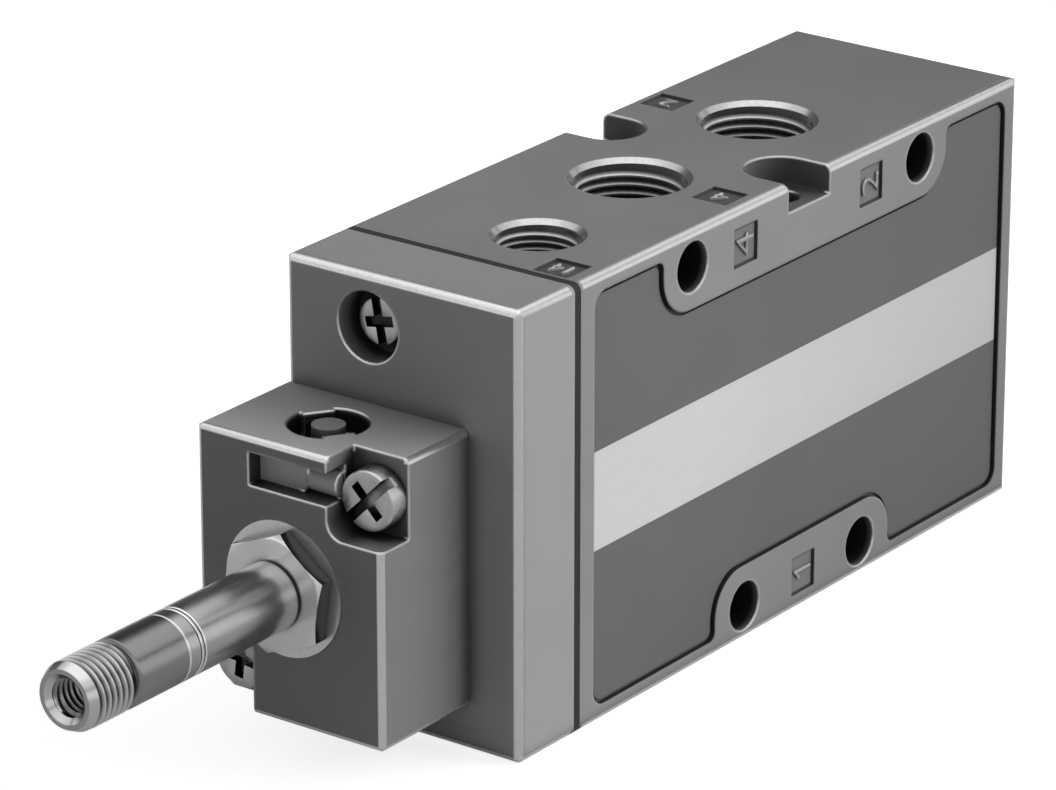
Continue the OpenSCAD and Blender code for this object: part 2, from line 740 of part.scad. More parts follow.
// The pilot gasket's form, with a clearance all round
module gasket_form(x0, x1, gap) {
    block_x(x0, x1, feed_y - pilot_gasket_w / 2 + gap, feed_y + pilot_gasket_w / 2 - gap,
        pilot_gasket_z0 + gap, pilot_gasket_z1 - gap, pilot_gasket_rim - gap);
}

// Flat rubber seal in the back of the pilot housing
module pilot_gasket() {
    color("#26272a") difference() {
        gasket_form(pilot_gasket_x, cap_x0, fit_gap);
        bar_x(pilot_gasket_x - over, cap_x0 + over, pilot_bore_r, feed_y, feed_z);
        bar_x(pilot_gasket_x - over, cap_x0 + over, pilot_bore_r, output_y, output_z);
    }
}

// Two cheese-head screws that hold the pilot valve on the cap
module pilot_screws() {
    color("#d0d1d3") each_pilot_screw()
        translate([notch_x, 0, 0]) rotate([0, 90, 0])
            cheese_screw(screw_head_r, screw_head_h, screw_r, pilot_screw_l);
}

// Guide tube with its hexagon and the threaded spigot that screws into the housing
crimp_in = 1.8;
crimp_step = 0.6;
crimp_r = 0.25;
module armature_tube() {
    color("#b9babc") difference() {
        union() {
            bar_x(core_joint_x, spigot_x, tube_r, tube_y, tube_z);
            bar_x(hex_x0, spigot_x, spigot_r, tube_y, tube_z);
            translate([hex_x0, tube_y, tube_z]) rotate([0, 90, 0]) intersection() {
                rotate([0, 0, hex_turn]) cylinder(r = hex_flats / sqrt(3), h = hex_t, $fn = 6);
                hex_crown();
            }
        }
        bar_x(core_joint_x - over, spigot_x + over, tube_inner_r, tube_y, tube_z);
        bar_x(spring_room_x, spigot_x + over, spring_room_r, tube_y, tube_z);
        for (x = [core_joint_x + crimp_in, core_joint_x + crimp_in + crimp_step])
            o_ring_x(x, tube_r + crimp_r / 2, crimp_r, tube_y, tube_z);
    }
}

// The turned cone that takes the hexagon's front corners off
module hex_crown() {
    corner_r = hex_flats / sqrt(3);
    crown_h = 0.5;
    crown_out = 0.1;
    cylinder(r1 = hex_flats / 2 + crown_out, r2 = corner_r + fit_gap, h = crown_h);
    translate([0, 0, crown_h]) cylinder(r = corner_r + fit_gap, h = hex_t);
}

// Washer under the hexagon
module tube_washer() {
    color("#c4c5c7") tube_x(hex_x1, head_x0, washer_r, spigot_r + fit_gap, tube_y, tube_z);
}

// O-ring that seals the spigot in the housing
module tube_o_ring() {
    color("#202124") o_ring_x(spigot_x + tube_seal_r, spigot_r - tube_seal_r, tube_seal_r - seal_play,
        tube_y, tube_z);
}

// Fixed core that closes the tube, with the coil nut's thread and the exhaust port
module fixed_core() {
    tip_r1 = tube_r - nut_thread_chamfer;
    countersink = 0.3;
    color("#aeafb1") difference() {
        union() {
            bar_x(core_joint_x, core_x1, tube_inner_r - fit_gap, tube_y, tube_z);
            bar_x(tube_x0 + nut_thread_lead, core_joint_x, tube_r, tube_y, tube_z);
            translate([tube_x0, tube_y, tube_z]) rotate([0, 90, 0])
                cylinder(r1 = tip_r1, r2 = tube_r, h = nut_thread_lead);
        }
        bar_x(tube_x0 - over, core_x1 + over, core_bore_r, tube_y, tube_z);
        bar_x(tube_x0 - over, tube_x0 + exhaust_depth, exhaust_r, tube_y, tube_z);
        translate([tube_x0 - over, tube_y, tube_z]) rotate([0, 90, 0])
            cylinder(r1 = exhaust_r + countersink + over, r2 = exhaust_r, h = over + countersink);
        tube_x(core_x1 - shading_t, core_x1 + over, shading_r + fit_gap, shading_r - shading_w - fit_gap,
            tube_y, tube_z);
        tube_x(tube_x0 + nut_thread_l - relief_w, tube_x0 + nut_thread_l, tube_r + over,
            tube_r - relief_depth, tube_y, tube_z);
    }
}

// Copper ring let into the core's face, which stops the armature from humming
shading_r = 2.9;
shading_t = 1.5;
shading_w = 0.65;
module shading_ring() {
    color("#b4713d") tube_x(core_x1 - shading_t, core_x1, shading_r, shading_r - shading_w, tube_y, tube_z);
}

// Brass nozzle whose raised lip is the pilot valve's seat
nozzle_bore_r = 0.6;
module seat_nozzle() {
    color("#c6a24c") difference() {
        union() {
            bar_x(chamber_x - seal_play, channel_x, nozzle_r, tube_y, tube_z);
            translate([seat_x, tube_y, tube_z]) rotate([0, 90, 0])
                cylinder(r1 = pilot_bore_r, r2 = nozzle_r, h = seat_h);
        }
        bar_x(seat_x - over, channel_x + over, nozzle_bore_r, tube_y, tube_z);
    }
}

// Pressed-in bush that keeps the override's button in the housing
module override_bush() {
    color("#505154") difference() {
        bar_z(flange_z1, override_floor_z, bush_r - fit_gap, override_x, override_y);
        bar_z(flange_z1 - over, override_floor_z + over, button_r + slide_gap, override_x, override_y);
    }
}

// Push button with its flange, stem and tip, and a groove for its O-ring
tip_l = 0.8;
pin_groove_w = 0.6;
pin_groove_t = 0.5;
module override_button() {
    color("#8a8b8d") difference() {
        union() {
            bar_z(flange_z0, head_z1 - button_drop, button_r, override_x, override_y);
            bar_z(flange_z0, flange_z1, flange_r, override_x, override_y);
            bar_z(tip_z + tip_l, flange_z1, stem_pin_r, override_x, override_y);
            bar_z(tip_z, flange_z1, tip_r, override_x, override_y);
        }
        difference() {
            bar_z(pin_seal_z - pin_groove_w / 2, pin_seal_z + pin_groove_w / 2, stem_pin_r + over,
                override_x, override_y);
            bar_z(pin_seal_z - over, pin_seal_z + over, stem_pin_r - pin_groove_t, override_x, override_y);
        }
    }
}

// O-ring in the groove of the button's stem
module override_o_ring() {
    color("#202124") translate([override_x, override_y, pin_seal_z]) rotate_extrude()
        translate([stem_pin_r - pin_groove_t / 2 + seal_play, 0]) circle(pin_seal_r - seal_play);
}

// Spring that lifts the button
module override_spring() {
    color("#b5b6b8") translate([override_x, override_y, spring_seat_z])
        coil_spring(flange_r - 2 * override_wire_r, override_wire_r, override_spring_l, 3);
}

// Plunger that the coil pulls, with two air grooves along it
air_groove_w = 1.2;
air_groove_t = 0.5;
module armature() {
    color("#9c9da0") difference() {
        union() {
            bar_x(armature_x0, collar_x1, armature_r, tube_y, tube_z);
            bar_x(collar_x0, collar_x1, collar_r, tube_y, tube_z);
            bar_x(collar_x1 - over, seat_x, nose_r, tube_y, tube_z);
        }
        bar_x(seat_x - pad_t, seat_x + over, pad_r, tube_y, tube_z);
        bar_x(armature_x0 - over, armature_x0 + pad_t, pad_r, tube_y, tube_z);
        for (side = [-1, 1])
            box(armature_x0 - over, collar_x0, tube_y - air_groove_w / 2, tube_y + air_groove_w / 2,
                tube_z + side * armature_r - air_groove_t, tube_z + side * armature_r + air_groove_t);
    }
}

// Rubber disc that shuts the nozzle
module armature_seat_seal() {
    color("#202124") bar_x(seat_x - pad_t, seat_x, pad_r - 0.02, tube_y, tube_z);
}

// Rubber disc that shuts the exhaust bore when the armature is pulled in
module armature_exhaust_seal() {
    color("#202124") bar_x(armature_x0, armature_x0 + pad_t, pad_r - 0.02, tube_y, tube_z);
}

// Spring that pushes the armature onto its seat
module armature_spring() {
    color("#b5b6b8") translate([spring_room_x, tube_y, tube_z]) rotate([0, 90, 0])
        coil_spring((armature_r + spring_room_r) / 2, armature_wire_r, collar_x0 - spring_room_x, 3);
}

// Piston that pushes the spool over when the pilot valve lets air in
lip_in = 1;
lip_w = 2.6;
lip_h = 1.8;
lip_t = 0.6;
lip_r = bore_r - lip_h;
recess_t = 0.6;
module pilot_piston() {
    color("#3b3c3f") difference() {
        bar_x(piston_x0, piston_x1, bore_r - slide_gap, 0, bore_z);
        tube_x(piston_x0 + lip_in, piston_x0 + lip_in + lip_w, bore_r + over, lip_r, 0, bore_z);
        bar_x(piston_x0 - over, piston_x0 + recess_t, bore_r / 2, 0, bore_z);
    }
}

// Lip seal of the pilot piston, with its open side towards the cap
module piston_seal() {
    x0 = piston_x0 + lip_in + fit_gap;
    x1 = x0 + lip_w - 2 * fit_gap;
    color("#202124") difference() {
        tube_x(x0, x1, bore_r - slide_gap, lip_r + seal_play, 0, bore_z);
        tube_x(x0 - over, x0 + lip_w / 2, bore_r - lip_t, lip_r + lip_t, 0, bore_z);
    }
}

// Spool with three lands and two necks, bored at its end for the return spring
module spool() {
    neck_ends = [rest_neck_1, rest_neck_1 + neck_l, rest_neck_2, rest_neck_2 + neck_l];
    color("#b2b3b6") difference() {
        union() {
            bar_x(spool_x0, spool_x1, neck_r, 0, bore_z);
            bar_x(spool_x0, neck_ends[0], land_r, 0, bore_z);
            bar_x(neck_ends[1], neck_ends[2], land_r, 0, bore_z);
            bar_x(neck_ends[3], spool_x1, land_r, 0, bore_z);
        }
        bar_x(bushing_x1 - return_spring_l, spool_x1 + over, spring_bore_r, 0, bore_z);
    }
}

// Rubber ring between two chambers, with a groove round its outside
module spool_seal(i) {
    x0 = (i - 2.5) * chamber_pitch - seal_w / 2;
    color("#202124") difference() {
        tube_x(x0, x0 + seal_w, sleeve_r, seal_in_r, 0, bore_z);
        tube_x(x0 + seal_w / 4, x0 + 3 * seal_w / 4, sleeve_r + over, sleeve_r - seal_w / 5, 0, bore_z);
    }
}

// Spacer cage round one chamber, with six windows for the air
module cage(i) {
    mid = (i - 2) * chamber_pitch;
    color("#d8d4c4") difference() {
        tube_x(mid - cage_l / 2, mid + cage_l / 2, sleeve_r, sleeve_r - cage_wall, 0, bore_z);
        for (turn = [0, 60, 120]) translate([mid, 0, bore_z]) rotate([turn, 0, 0])
            cylinder(r = cage_window_r, h = 3 * bore_r, center = true);
    }
}

// Ring that carries the spool between the piston and the first seal
module front_spacer() {
    color("#d8d4c4") tube_x(spacer_x0, -stack_x, sleeve_r, seal_in_r, 0, bore_z);
}

// Bush that guides the spool's end behind the last seal
module rear_bushing() {
    color("#d8d4c4") tube_x(stack_x, bushing_x1, sleeve_r, seal_in_r, 0, bore_z);
}

// Spring that returns the spool
module return_spring() {
    color("#b5b6b8") translate([bushing_x1 - return_spring_l, 0, bore_z]) rotate([0, 90, 0])
        coil_spring(spring_bore_r - return_wire_r - 3 * slide_gap, return_wire_r, return_spring_l, 7);
}

// Plug that closes the bore at the spring end, with a groove for its O-ring
plug_groove_x = bushing_x1 + 1.2;
plug_groove_w = 1.6;
plug_groove_r = bore_r - 1.4;
plug_recess_r = 4.5;
plug_recess_t = 1;
module end_plug() {
    color("#8e8f91") difference() {
        bar_x(bushing_x1, plug_x1, sleeve_r, 0, bore_z);
        tube_x(plug_groove_x, plug_groove_x + plug_groove_w, bore_r + over, plug_groove_r, 0, bore_z);
        bar_x(plug_x1 - plug_recess_t, plug_x1 + over, plug_recess_r, 0, bore_z);
    }
}

// O-ring of the end plug
module plug_o_ring() {
    wire_r = (bore_r - plug_groove_r) / 2;
    color("#202124") o_ring_x(plug_groove_x + plug_groove_w / 2, bore_r - wire_r, wire_r - seal_play, 0, bore_z);
}

// Spring steel retaining ring, open at the top between two eyes
module retaining_ring() {
    eye_r = 1.5;
    eye_hole_r = 0.6;
    eye_in = 0.6;
    gap_turn = 16;
    eye_turn = 22;
    color("#6a6b6e") translate([ring_x0, 0, bore_z]) rotate([90, 0, 90]) linear_extrude(ring_t)
        difference() {
            union() {
                difference() {
                    circle(ring_out_r);
                    circle(ring_in_r);
                    polygon([[0, 0], 2 * bore_r * [-sin(gap_turn), cos(gap_turn)],
                             2 * bore_r * [sin(gap_turn), cos(gap_turn)]]);
                }
                for (side = [-1, 1])
                    translate((ring_in_r - eye_in) * [side * sin(eye_turn), cos(eye_turn)]) circle(eye_r);
            }
            for (side = [-1, 1])
                translate((ring_in_r - eye_in) * [side * sin(eye_turn), cos(eye_turn)]) circle(eye_hole_r);
        }
}

valve_body();
side_label();
cap_gasket();
end_cap();
cap_screws();
pilot_housing();
pilot_gasket();
pilot_screws();
armature_tube();
tube_washer();
tube_o_ring();
fixed_core();
shading_ring();
seat_nozzle();
override_bush();
override_button();
override_o_ring();
override_spring();
armature();
armature_seat_seal();
armature_exhaust_seal();
armature_spring();
pilot_piston();
piston_seal();
spool();
for (i = [0:5]) spool_seal(i);
for (i = [0:4]) cage(i);
front_spacer();
rear_bushing();
return_spring();
end_plug();
plug_o_ring();
retaining_ring();
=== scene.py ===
import math

import bpy
from mathutils import Matrix, Vector


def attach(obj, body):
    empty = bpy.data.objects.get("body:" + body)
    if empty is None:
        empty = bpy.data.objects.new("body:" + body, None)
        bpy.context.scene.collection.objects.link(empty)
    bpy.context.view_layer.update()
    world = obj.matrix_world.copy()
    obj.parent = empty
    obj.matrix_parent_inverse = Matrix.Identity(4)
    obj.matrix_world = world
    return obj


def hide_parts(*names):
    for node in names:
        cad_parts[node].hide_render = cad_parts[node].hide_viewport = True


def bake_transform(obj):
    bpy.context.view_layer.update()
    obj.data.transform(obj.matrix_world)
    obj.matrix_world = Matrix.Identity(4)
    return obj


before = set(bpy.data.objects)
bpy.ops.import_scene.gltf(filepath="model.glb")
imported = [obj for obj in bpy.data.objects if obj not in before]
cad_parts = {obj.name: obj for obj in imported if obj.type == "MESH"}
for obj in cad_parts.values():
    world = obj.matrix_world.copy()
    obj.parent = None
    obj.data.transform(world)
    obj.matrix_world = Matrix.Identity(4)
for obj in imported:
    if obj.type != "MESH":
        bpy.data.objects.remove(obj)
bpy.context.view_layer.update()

# Valve body. An aluminium die casting, painted satin grey before its ports are machined, so their
# chamfers and bores are bare metal. It lies under all the rest, and its edges carry a painted highlight.
MM = 0.001
# The block's height and half its width, and where the gasket touches it on the X axis, all in mm.
BODY_TOP, HALF_WIDTH = 53.3, 16
BODY_JOINT = -44.5


def linear(code):
    """The linear colour that a shader takes for an sRGB hex colour."""
    parts = [int(code[i:i + 2], 16) / 255 for i in (1, 3, 5)]
    return tuple(p / 12.92 if p <= 0.04045 else ((p + 0.055) / 1.055) ** 2.4 for p in parts) + (1.0,)


def add(tree, kind, inputs=None, **settings):
    """Adds one node to a finish, with its settings, and its inputs from values or other nodes' outputs."""
    node = tree.nodes.new("ShaderNode" + kind)
    for name, value in settings.items():
        setattr(node, name, value)
    for socket, value in (inputs or {}).items():
        if isinstance(value, bpy.types.NodeSocket):
            tree.links.new(value, node.inputs[socket])
        else:
            node.inputs[socket].default_value = value
    return node


def new_finish(name, metallic, roughness):
    """A blank finish: its material, its nodes, its shader and the place on the piece, in metres."""
    finish = bpy.data.materials.new(name)
    finish.use_nodes = True
    tree = finish.node_tree
    shader = tree.nodes["Principled BSDF"]
    shader.inputs["Metallic"].default_value = metallic
    shader.inputs["Roughness"].default_value = roughness
    return finish, tree, shader, add(tree, "TexCoord").outputs["Object"]


def blend_tones(tree, factor, first, second):
    """The colour between two others, each a hex colour or another node's output."""
    inputs = {0: factor}
    for socket, tone in ((6, first), (7, second)):
        inputs[socket] = linear(tone) if isinstance(tone, str) else tone
    return add(tree, "Mix", inputs, data_type="RGBA").outputs[2]


def dent(tree, shader, height, depth, strength=1.0, **normal):
    """Raises a finish by a height pattern that is depth metres deep."""
    bump = add(tree, "Bump", {"Height": height, "Distance": depth, "Strength": strength, **normal})
    tree.links.new(bump.outputs["Normal"], shader.inputs["Normal"])


def in_corners(tree, tone, shade_tone, reach, first=0.85, last=0.2):
    """A tone that goes over to painted shade as a corner or gap narrows, within the reach in metres."""
    open_sky = add(tree, "AmbientOcclusion", {"Distance": reach}, samples=4).outputs["AO"]
    hidden = add(tree, "MapRange", {"Value": open_sky, "From Min": first, "From Max": last,
                                    "To Max": 0.95}).outputs[0]
    return blend_tones(tree, hidden, tone, shade_tone)


def between(tree, place, *sides):
    """1 inside a box, whose sides are each given by an axis, a middle and half a width in mm, 0 outside."""
    spot = add(tree, "SeparateXYZ", {0: place})
    mask = 1.0
    for axis, middle, half in sides:
        inside = add(tree, "Math", {0: spot.outputs[axis], 1: middle * MM, 2: half * MM}, operation="COMPARE")
        mask = add(tree, "Math", {0: mask, 1: inside.outputs[0]}, operation="MULTIPLY").outputs[0]
    return mask


def from_line(tree, place, axis, point):
    """How far off a line is that runs along an axis, through a point in mm."""
    across = [0.0 if letter == axis else 1.0 for letter in "XYZ"]
    flat = add(tree, "VectorMath", {0: place, 1: across}, operation="MULTIPLY").outputs[0]
    return add(tree, "VectorMath", {0: flat, 1: [a * p * MM for a, p in zip(across, point)]},
               operation="DISTANCE").outputs["Value"]


# The walls of the slots across the body's middle, which the bolts' heads go in.
BOLT_SLOTS = ("X", 0.0, 4.27), ("Z", 51.5, 1.75)


def on_round_edges(tree, place, low, high, radius):
    """1 on the rounded edges of a block between two corners in mm, 0 on its faces and in its openings."""
    middle = [(a + b) / 2 * MM for a, b in zip(low, high)]
    core = [((b - a) / 2 - radius) * MM for a, b in zip(low, high)]
    away = add(tree, "VectorMath", {0: place, 1: middle}, operation="SUBTRACT").outputs[0]
    away = add(tree, "VectorMath", {0: away}, operation="ABSOLUTE").outputs[0]
    away = add(tree, "VectorMath", {0: away, 1: core}, operation="SUBTRACT").outputs[0]
    x, y, z = add(tree, "SeparateXYZ", {0: away}).outputs[:3]
    less = add(tree, "Math", {0: x, 1: y}, operation="MINIMUM").outputs[0]
    more = add(tree, "Math", {0: x, 1: y}, operation="MAXIMUM").outputs[0]
    second = add(tree, "Math", {0: more, 1: z}, operation="MINIMUM").outputs[0]
    second = add(tree, "Math", {0: less, 1: second}, operation="MAXIMUM").outputs[0]
    rounded = add(tree, "MapRange", {"Value": second, "From Min": 0.1 * radius * MM,
                                     "From Max": 0.25 * radius * MM}).outputs[0]
    return add(tree, "Math", {0: rounded, 1: between(tree, place, *BOLT_SLOTS)}, operation="SUBTRACT",
               use_clamp=True).outputs[0]


def down_the_ports(tree, place, first, last):
    """0 near the body's top and foot, rising to 1 between two depths in mm from them."""
    height = add(tree, "SeparateXYZ", {0: place}).outputs["Z"]
    level = add(tree, "Math", {0: height, 1: BODY_TOP / 2 * MM}, operation="SUBTRACT").outputs[0]
    level = add(tree, "Math", {0: level}, operation="ABSOLUTE").outputs[0]
    return add(tree, "MapRange", {"Value": level, "From Min": (BODY_TOP / 2 - first) * MM,
                                  "From Max": (BODY_TOP / 2 - last) * MM}).outputs[0]


def painted_casting(name, dark, light, box=None, bare=None, touched=None, spared=None):
    """Satin paint on a blasted die casting: soft and even, with 0.5 mm orange peel and clouds of about
    11 mm. Painted shade darkens its corners and holes, and a pale, metallic painted highlight lies on its
    edges."""
    finish, tree, shader, place = new_finish(name, 0.0, 0.5)
    clouds = add(tree, "TexNoise", {"Vector": place, "Scale": 90.0, "Detail": 2.0}).outputs["Fac"]
    peel = add(tree, "TexNoise", {"Vector": place, "Scale": 1900.0, "Detail": 2.0}).outputs["Fac"]
    # The painted highlight lies on the outward edges, where the piece is thin from within and its surface
    # bends.
    inside = add(tree, "AmbientOcclusion", {"Distance": 0.9 * MM}, inside=True, only_local=True,
                 samples=8).outputs["AO"]
    convex = add(tree, "MapRange", {"Value": inside, "From Min": 0.98, "From Max": 0.92}).outputs[0]
    blunt = add(tree, "Bevel", {"Radius": 0.5 * MM}, samples=6).outputs[0]
    bent = add(tree, "VectorMath", {0: blunt, 1: add(tree, "NewGeometry").outputs["Normal"]},
               operation="DOT_PRODUCT").outputs["Value"]
    sharp = add(tree, "MapRange", {"Value": bent, "From Min": 0.985, "From Max": 0.93}).outputs[0]
    edge = add(tree, "Math", {0: sharp, 1: convex}, operation="MULTIPLY").outputs[0]
    # The block's rounded edges get the painted highlight too.
    if box:
        outer = on_round_edges(tree, place, *box)
        edge = add(tree, "Math", {0: edge, 1: outer}, operation="MAXIMUM").outputs[0]
    if spared:
        edge = add(tree, "Math", {0: edge, 1: spared(tree, place)}, operation="MULTIPLY").outputs[0]
    # Painted shade in corners, holes and gaps, within 4.5 mm.
    grey = in_corners(tree, blend_tones(tree, clouds, dark, light), "#171717", 4.5 * MM, 0.75, 0.42)
    if touched:
        grey = touched(tree, place, grey)
    # The painted highlight's pale tone; on the edges the paint is also made metallic and glossier.
    highlit = add(tree, "MapRange", {"Value": peel, "To Min": 0.7, "To Max": 0.82}).outputs[0]
    paint = add(tree, "Mix", {0: edge, 6: grey, 7: highlit}, data_type="RGBA").outputs[2]
    mask, lie = edge, blunt
    if bare:
        bores = bare(tree, place)
        metal = blend_tones(tree, peel, "#b6b6b6", "#d2d2d2")
        # Painted shade that deepens down the ports.
        metal = blend_tones(tree, down_the_ports(tree, place, 1.5, 6), metal, "#1b1b1b")
        paint = blend_tones(tree, bores, paint, metal)
        mask = add(tree, "Math", {0: mask, 1: bores}, operation="MAXIMUM").outputs[0]
        true_lie = add(tree, "NewGeometry").outputs["Normal"]
        lie = add(tree, "Mix", {0: bores, 4: blunt, 5: true_lie}, data_type="VECTOR").outputs[1]
    gloss = add(tree, "MapRange", {"Value": clouds, "To Min": 0.42, "To Max": 0.54}).outputs[0]
    gloss = add(tree, "Mix", {0: mask, 2: gloss, 3: 0.27}).outputs[0]
    tree.links.new(paint, shader.inputs["Base Color"])
    tree.links.new(gloss, shader.inputs["Roughness"])
    tree.links.new(mask, shader.inputs["Metallic"])
    shader.inputs["Specular IOR Level"].default_value = 0.35
    dent(tree, shader, peel, 0.02 * MM, 0.35, Normal=lie)
    return finish


def dress(finish, *names):
    """Gives CAD pieces their finish, and shades their round faces smooth and their flat ones flat."""
    for name in names:
        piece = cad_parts[name]
        piece.data.materials.clear()
        piece.data.materials.append(finish)
        piece.data.shade_smooth()
        piece.modifiers.new("joined facets", "WELD").merge_threshold = 0.001 * MM
        piece.modifiers.new("sharp edges", "EDGE_SPLIT").split_angle = math.radians(33)
        piece.modifiers.new("flat faces", "WEIGHTED_NORMAL").keep_sharp = True


# Each thread's mouth and crest as radii, and each port's place with its thread.
QUARTER, EIGHTH = (7.149, 6.15), (5.434, 4.5)
PORTS_UP = (-12.8, 0, QUARTER), (12.8, 0, QUARTER), (-34.5, -3, EIGHTH)
PORTS_DOWN = (-25.6, 0, QUARTER), (0, 0, QUARTER), (25.6, 0, QUARTER)
UPPER_HALF = "Z", BODY_TOP, BODY_TOP / 2


def port_bores(tree, place):
    """Where the ports' chamfers and bores are cut through the paint: 1 inside them, 0 outside."""
    masks = []
    for ports in (PORTS_UP, PORTS_DOWN):
        mask = 0.0
        for x, y, (mouth_r, crest_r) in ports:
            away = from_line(tree, place, "Z", (x, y, 0))
            within = add(tree, "Math", {0: away, 1: (mouth_r + 0.02) * MM}, operation="LESS_THAN").outputs[0]
            mask = add(tree, "Math", {0: mask, 1: within}, operation="MAXIMUM").outputs[0]
        masks.append(mask)
    return add(tree, "Mix", {0: between(tree, place, UPPER_HALF), 2: masks[1], 3: masks[0]}).outputs[0]


# Each port number's digits, its width and the middle of its field, and half the side of a field.
TOP_NUMBERS = ("14", 2.8, -41.7, -11.5), ("4", 1.8, -12.0, -11.8), ("2", 1.8, 11.8, 12.2)
SIDE_NUMBERS = ("4", 2.7, -12.8, 48.6), ("2", 2.4, 12.8, 48.6), ("1", 1.25, 0, 4.3)
NUMBER_FIELDS = [*((x, y, BODY_TOP) for _, _, x, y in TOP_NUMBERS),
                 *((x, -HALF_WIDTH, z) for _, _, x, z in SIDE_NUMBERS)]
FIELD_HALF = 2.2


def from_fields(tree, place):
    """How far the nearest number field's middle is, measured square to its sides."""
    nearest = 1.0
    for x, y, z in NUMBER_FIELDS:
        away = add(tree, "VectorMath", {0: place, 1: (x * MM, y * MM, z * MM)}, operation="SUBTRACT")
        away = add(tree, "SeparateXYZ", {0: add(tree, "VectorMath", {0: away.outputs[0]},
                                                operation="ABSOLUTE").outputs[0]})
        wide = add(tree, "Math", {0: away.outputs[0], 1: away.outputs[1]}, operation="MAXIMUM").outputs[0]
        wide = add(tree, "Math", {0: wide, 1: away.outputs[2]}, operation="MAXIMUM").outputs[0]
        nearest = add(tree, "Math", {0: nearest, 1: wide}, operation="MINIMUM").outputs[0]
    return nearest


def shaded_to_spring_end(tree, place, tone):
    """A tone with painted shade that deepens towards the spring end and the foot."""
    spot = add(tree, "SeparateXYZ", {0: place})
    low = add(tree, "MapRange", {"Value": spot.outputs["Z"], "From Min": 26 * MM, "From Max": 0.0,
                                 "To Max": 31 * MM}).outputs[0]
    far = add(tree, "Math", {0: spot.outputs["X"], 1: low}, operation="ADD").outputs[0]
    dull = add(tree, "MapRange", {"Value": far, "From Min": -20 * MM, "From Max": 65 * MM,
                                  "To Max": 0.36}).outputs[0]
    return blend_tones(tree, dull, tone, "#303030")


# The holes for the mounting screws across the body, and a radius just outside their walls.
CROSS_HOLES = [(-23.2, 49.0), (23.2, 49.0), (-12, 4.2), (12, 4.2)]
CROSS_HOLE_R = 3.05


def in_cross_holes(tree, place):
    """1 inside the four holes that cross the body, 0 elsewhere."""
    nearest = 1.0
    for x, z in CROSS_HOLES:
        away = from_line(tree, place, "Y", (x, 0, z))
        nearest = add(tree, "Math", {0: nearest, 1: away}, operation="MINIMUM").outputs[0]
    near = add(tree, "Math", {0: nearest, 1: CROSS_HOLE_R * MM}, operation="LESS_THAN").outputs[0]
    across = add(tree, "Math", {0: add(tree, "SeparateXYZ", {0: place}).outputs["Y"]}, operation="ABSOLUTE")
    inside = add(tree, "MapRange", {"Value": across.outputs[0], "From Min": (HALF_WIDTH - 0.1) * MM,
                                    "From Max": (HALF_WIDTH - 1.1) * MM}).outputs[0]
    return add(tree, "Math", {0: near, 1: inside}, operation="MULTIPLY").outputs[0]


# The side face within its rounded edges.
SIDE_FACE = ("X", 0.0, 43.2), ("Z", 26.6, 25.2)


def by_panel_rims(tree, place, y, reach):
    """1 so far out on both sides, away from the block's edges, the slots and the cross holes, 0 elsewhere."""
    across = add(tree, "Math", {0: add(tree, "SeparateXYZ", {0: place}).outputs["Y"]}, operation="ABSOLUTE")
    level = add(tree, "Math", {0: across.outputs[0], 1: y * MM, 2: reach * MM}, operation="COMPARE")
    mask = add(tree, "Math", {0: level.outputs[0], 1: between(tree, place, *SIDE_FACE)},
               operation="MULTIPLY").outputs[0]
    for x, z, clear in (*((x, z, CROSS_HOLE_R + 0.55) for x, z in CROSS_HOLES), (0, BODY_TOP, 5.6)):
        away = from_line(tree, place, "Y", (x, 0, z))
        outside = add(tree, "Math", {0: away, 1: clear * MM}, operation="GREATER_THAN").outputs[0]
        mask = add(tree, "Math", {0: mask, 1: outside}, operation="MULTIPLY").outputs[0]
    return mask


def shade_fields(tree, place, grey):
    """Paint with painted shade that deepens towards the spring end, and painted shade in the number fields,
    round the panels, in the bolt slots and in the cross holes, with a dark seam along the gasket.
    """
    grey = shaded_to_spring_end(tree, place, grey)
    away = from_fields(tree, place)
    # Painted shade on the number fields' floors and round their walls.
    floor = blend_tones(tree, between(tree, place, ("Z", BODY_TOP, 0.4)), "#737373", "#595959")
    within = add(tree, "Math", {0: away, 1: (FIELD_HALF + 0.1) * MM}, operation="LESS_THAN").outputs[0]
    outline = add(tree, "Math", {0: away, 1: FIELD_HALF * MM, 2: 0.14 * MM}, operation="COMPARE").outputs[0]
    grey = blend_tones(tree, outline, blend_tones(tree, within, grey, floor), "#393939")
    # Painted shade in the bolt slots.
    grey = blend_tones(tree, between(tree, place, *BOLT_SLOTS), grey, "#636363")
    # Painted shade on the panels' rims, on faces that stand upright.
    rims = add(tree, "Math", {0: by_panel_rims(tree, place, HALF_WIDTH - 0.5, 0.47), 1: within},
               operation="SUBTRACT", use_clamp=True).outputs[0]
    outwards = add(tree, "SeparateXYZ", {0: add(tree, "TexCoord").outputs["Normal"]}).outputs["Y"]
    upright = add(tree, "Math", {0: outwards, 1: 0.0, 2: 0.5}, operation="COMPARE").outputs[0]
    rims = add(tree, "Math", {0: rims, 1: upright}, operation="MULTIPLY").outputs[0]
    grey = blend_tones(tree, rims, grey, "#252525")
    # Painted shade in the cross holes.
    grey = blend_tones(tree, in_cross_holes(tree, place), grey, "#1d1d1d")
    return blend_tones(tree, between(tree, place, ("X", BODY_JOINT, 0.12)), grey, "#202020")


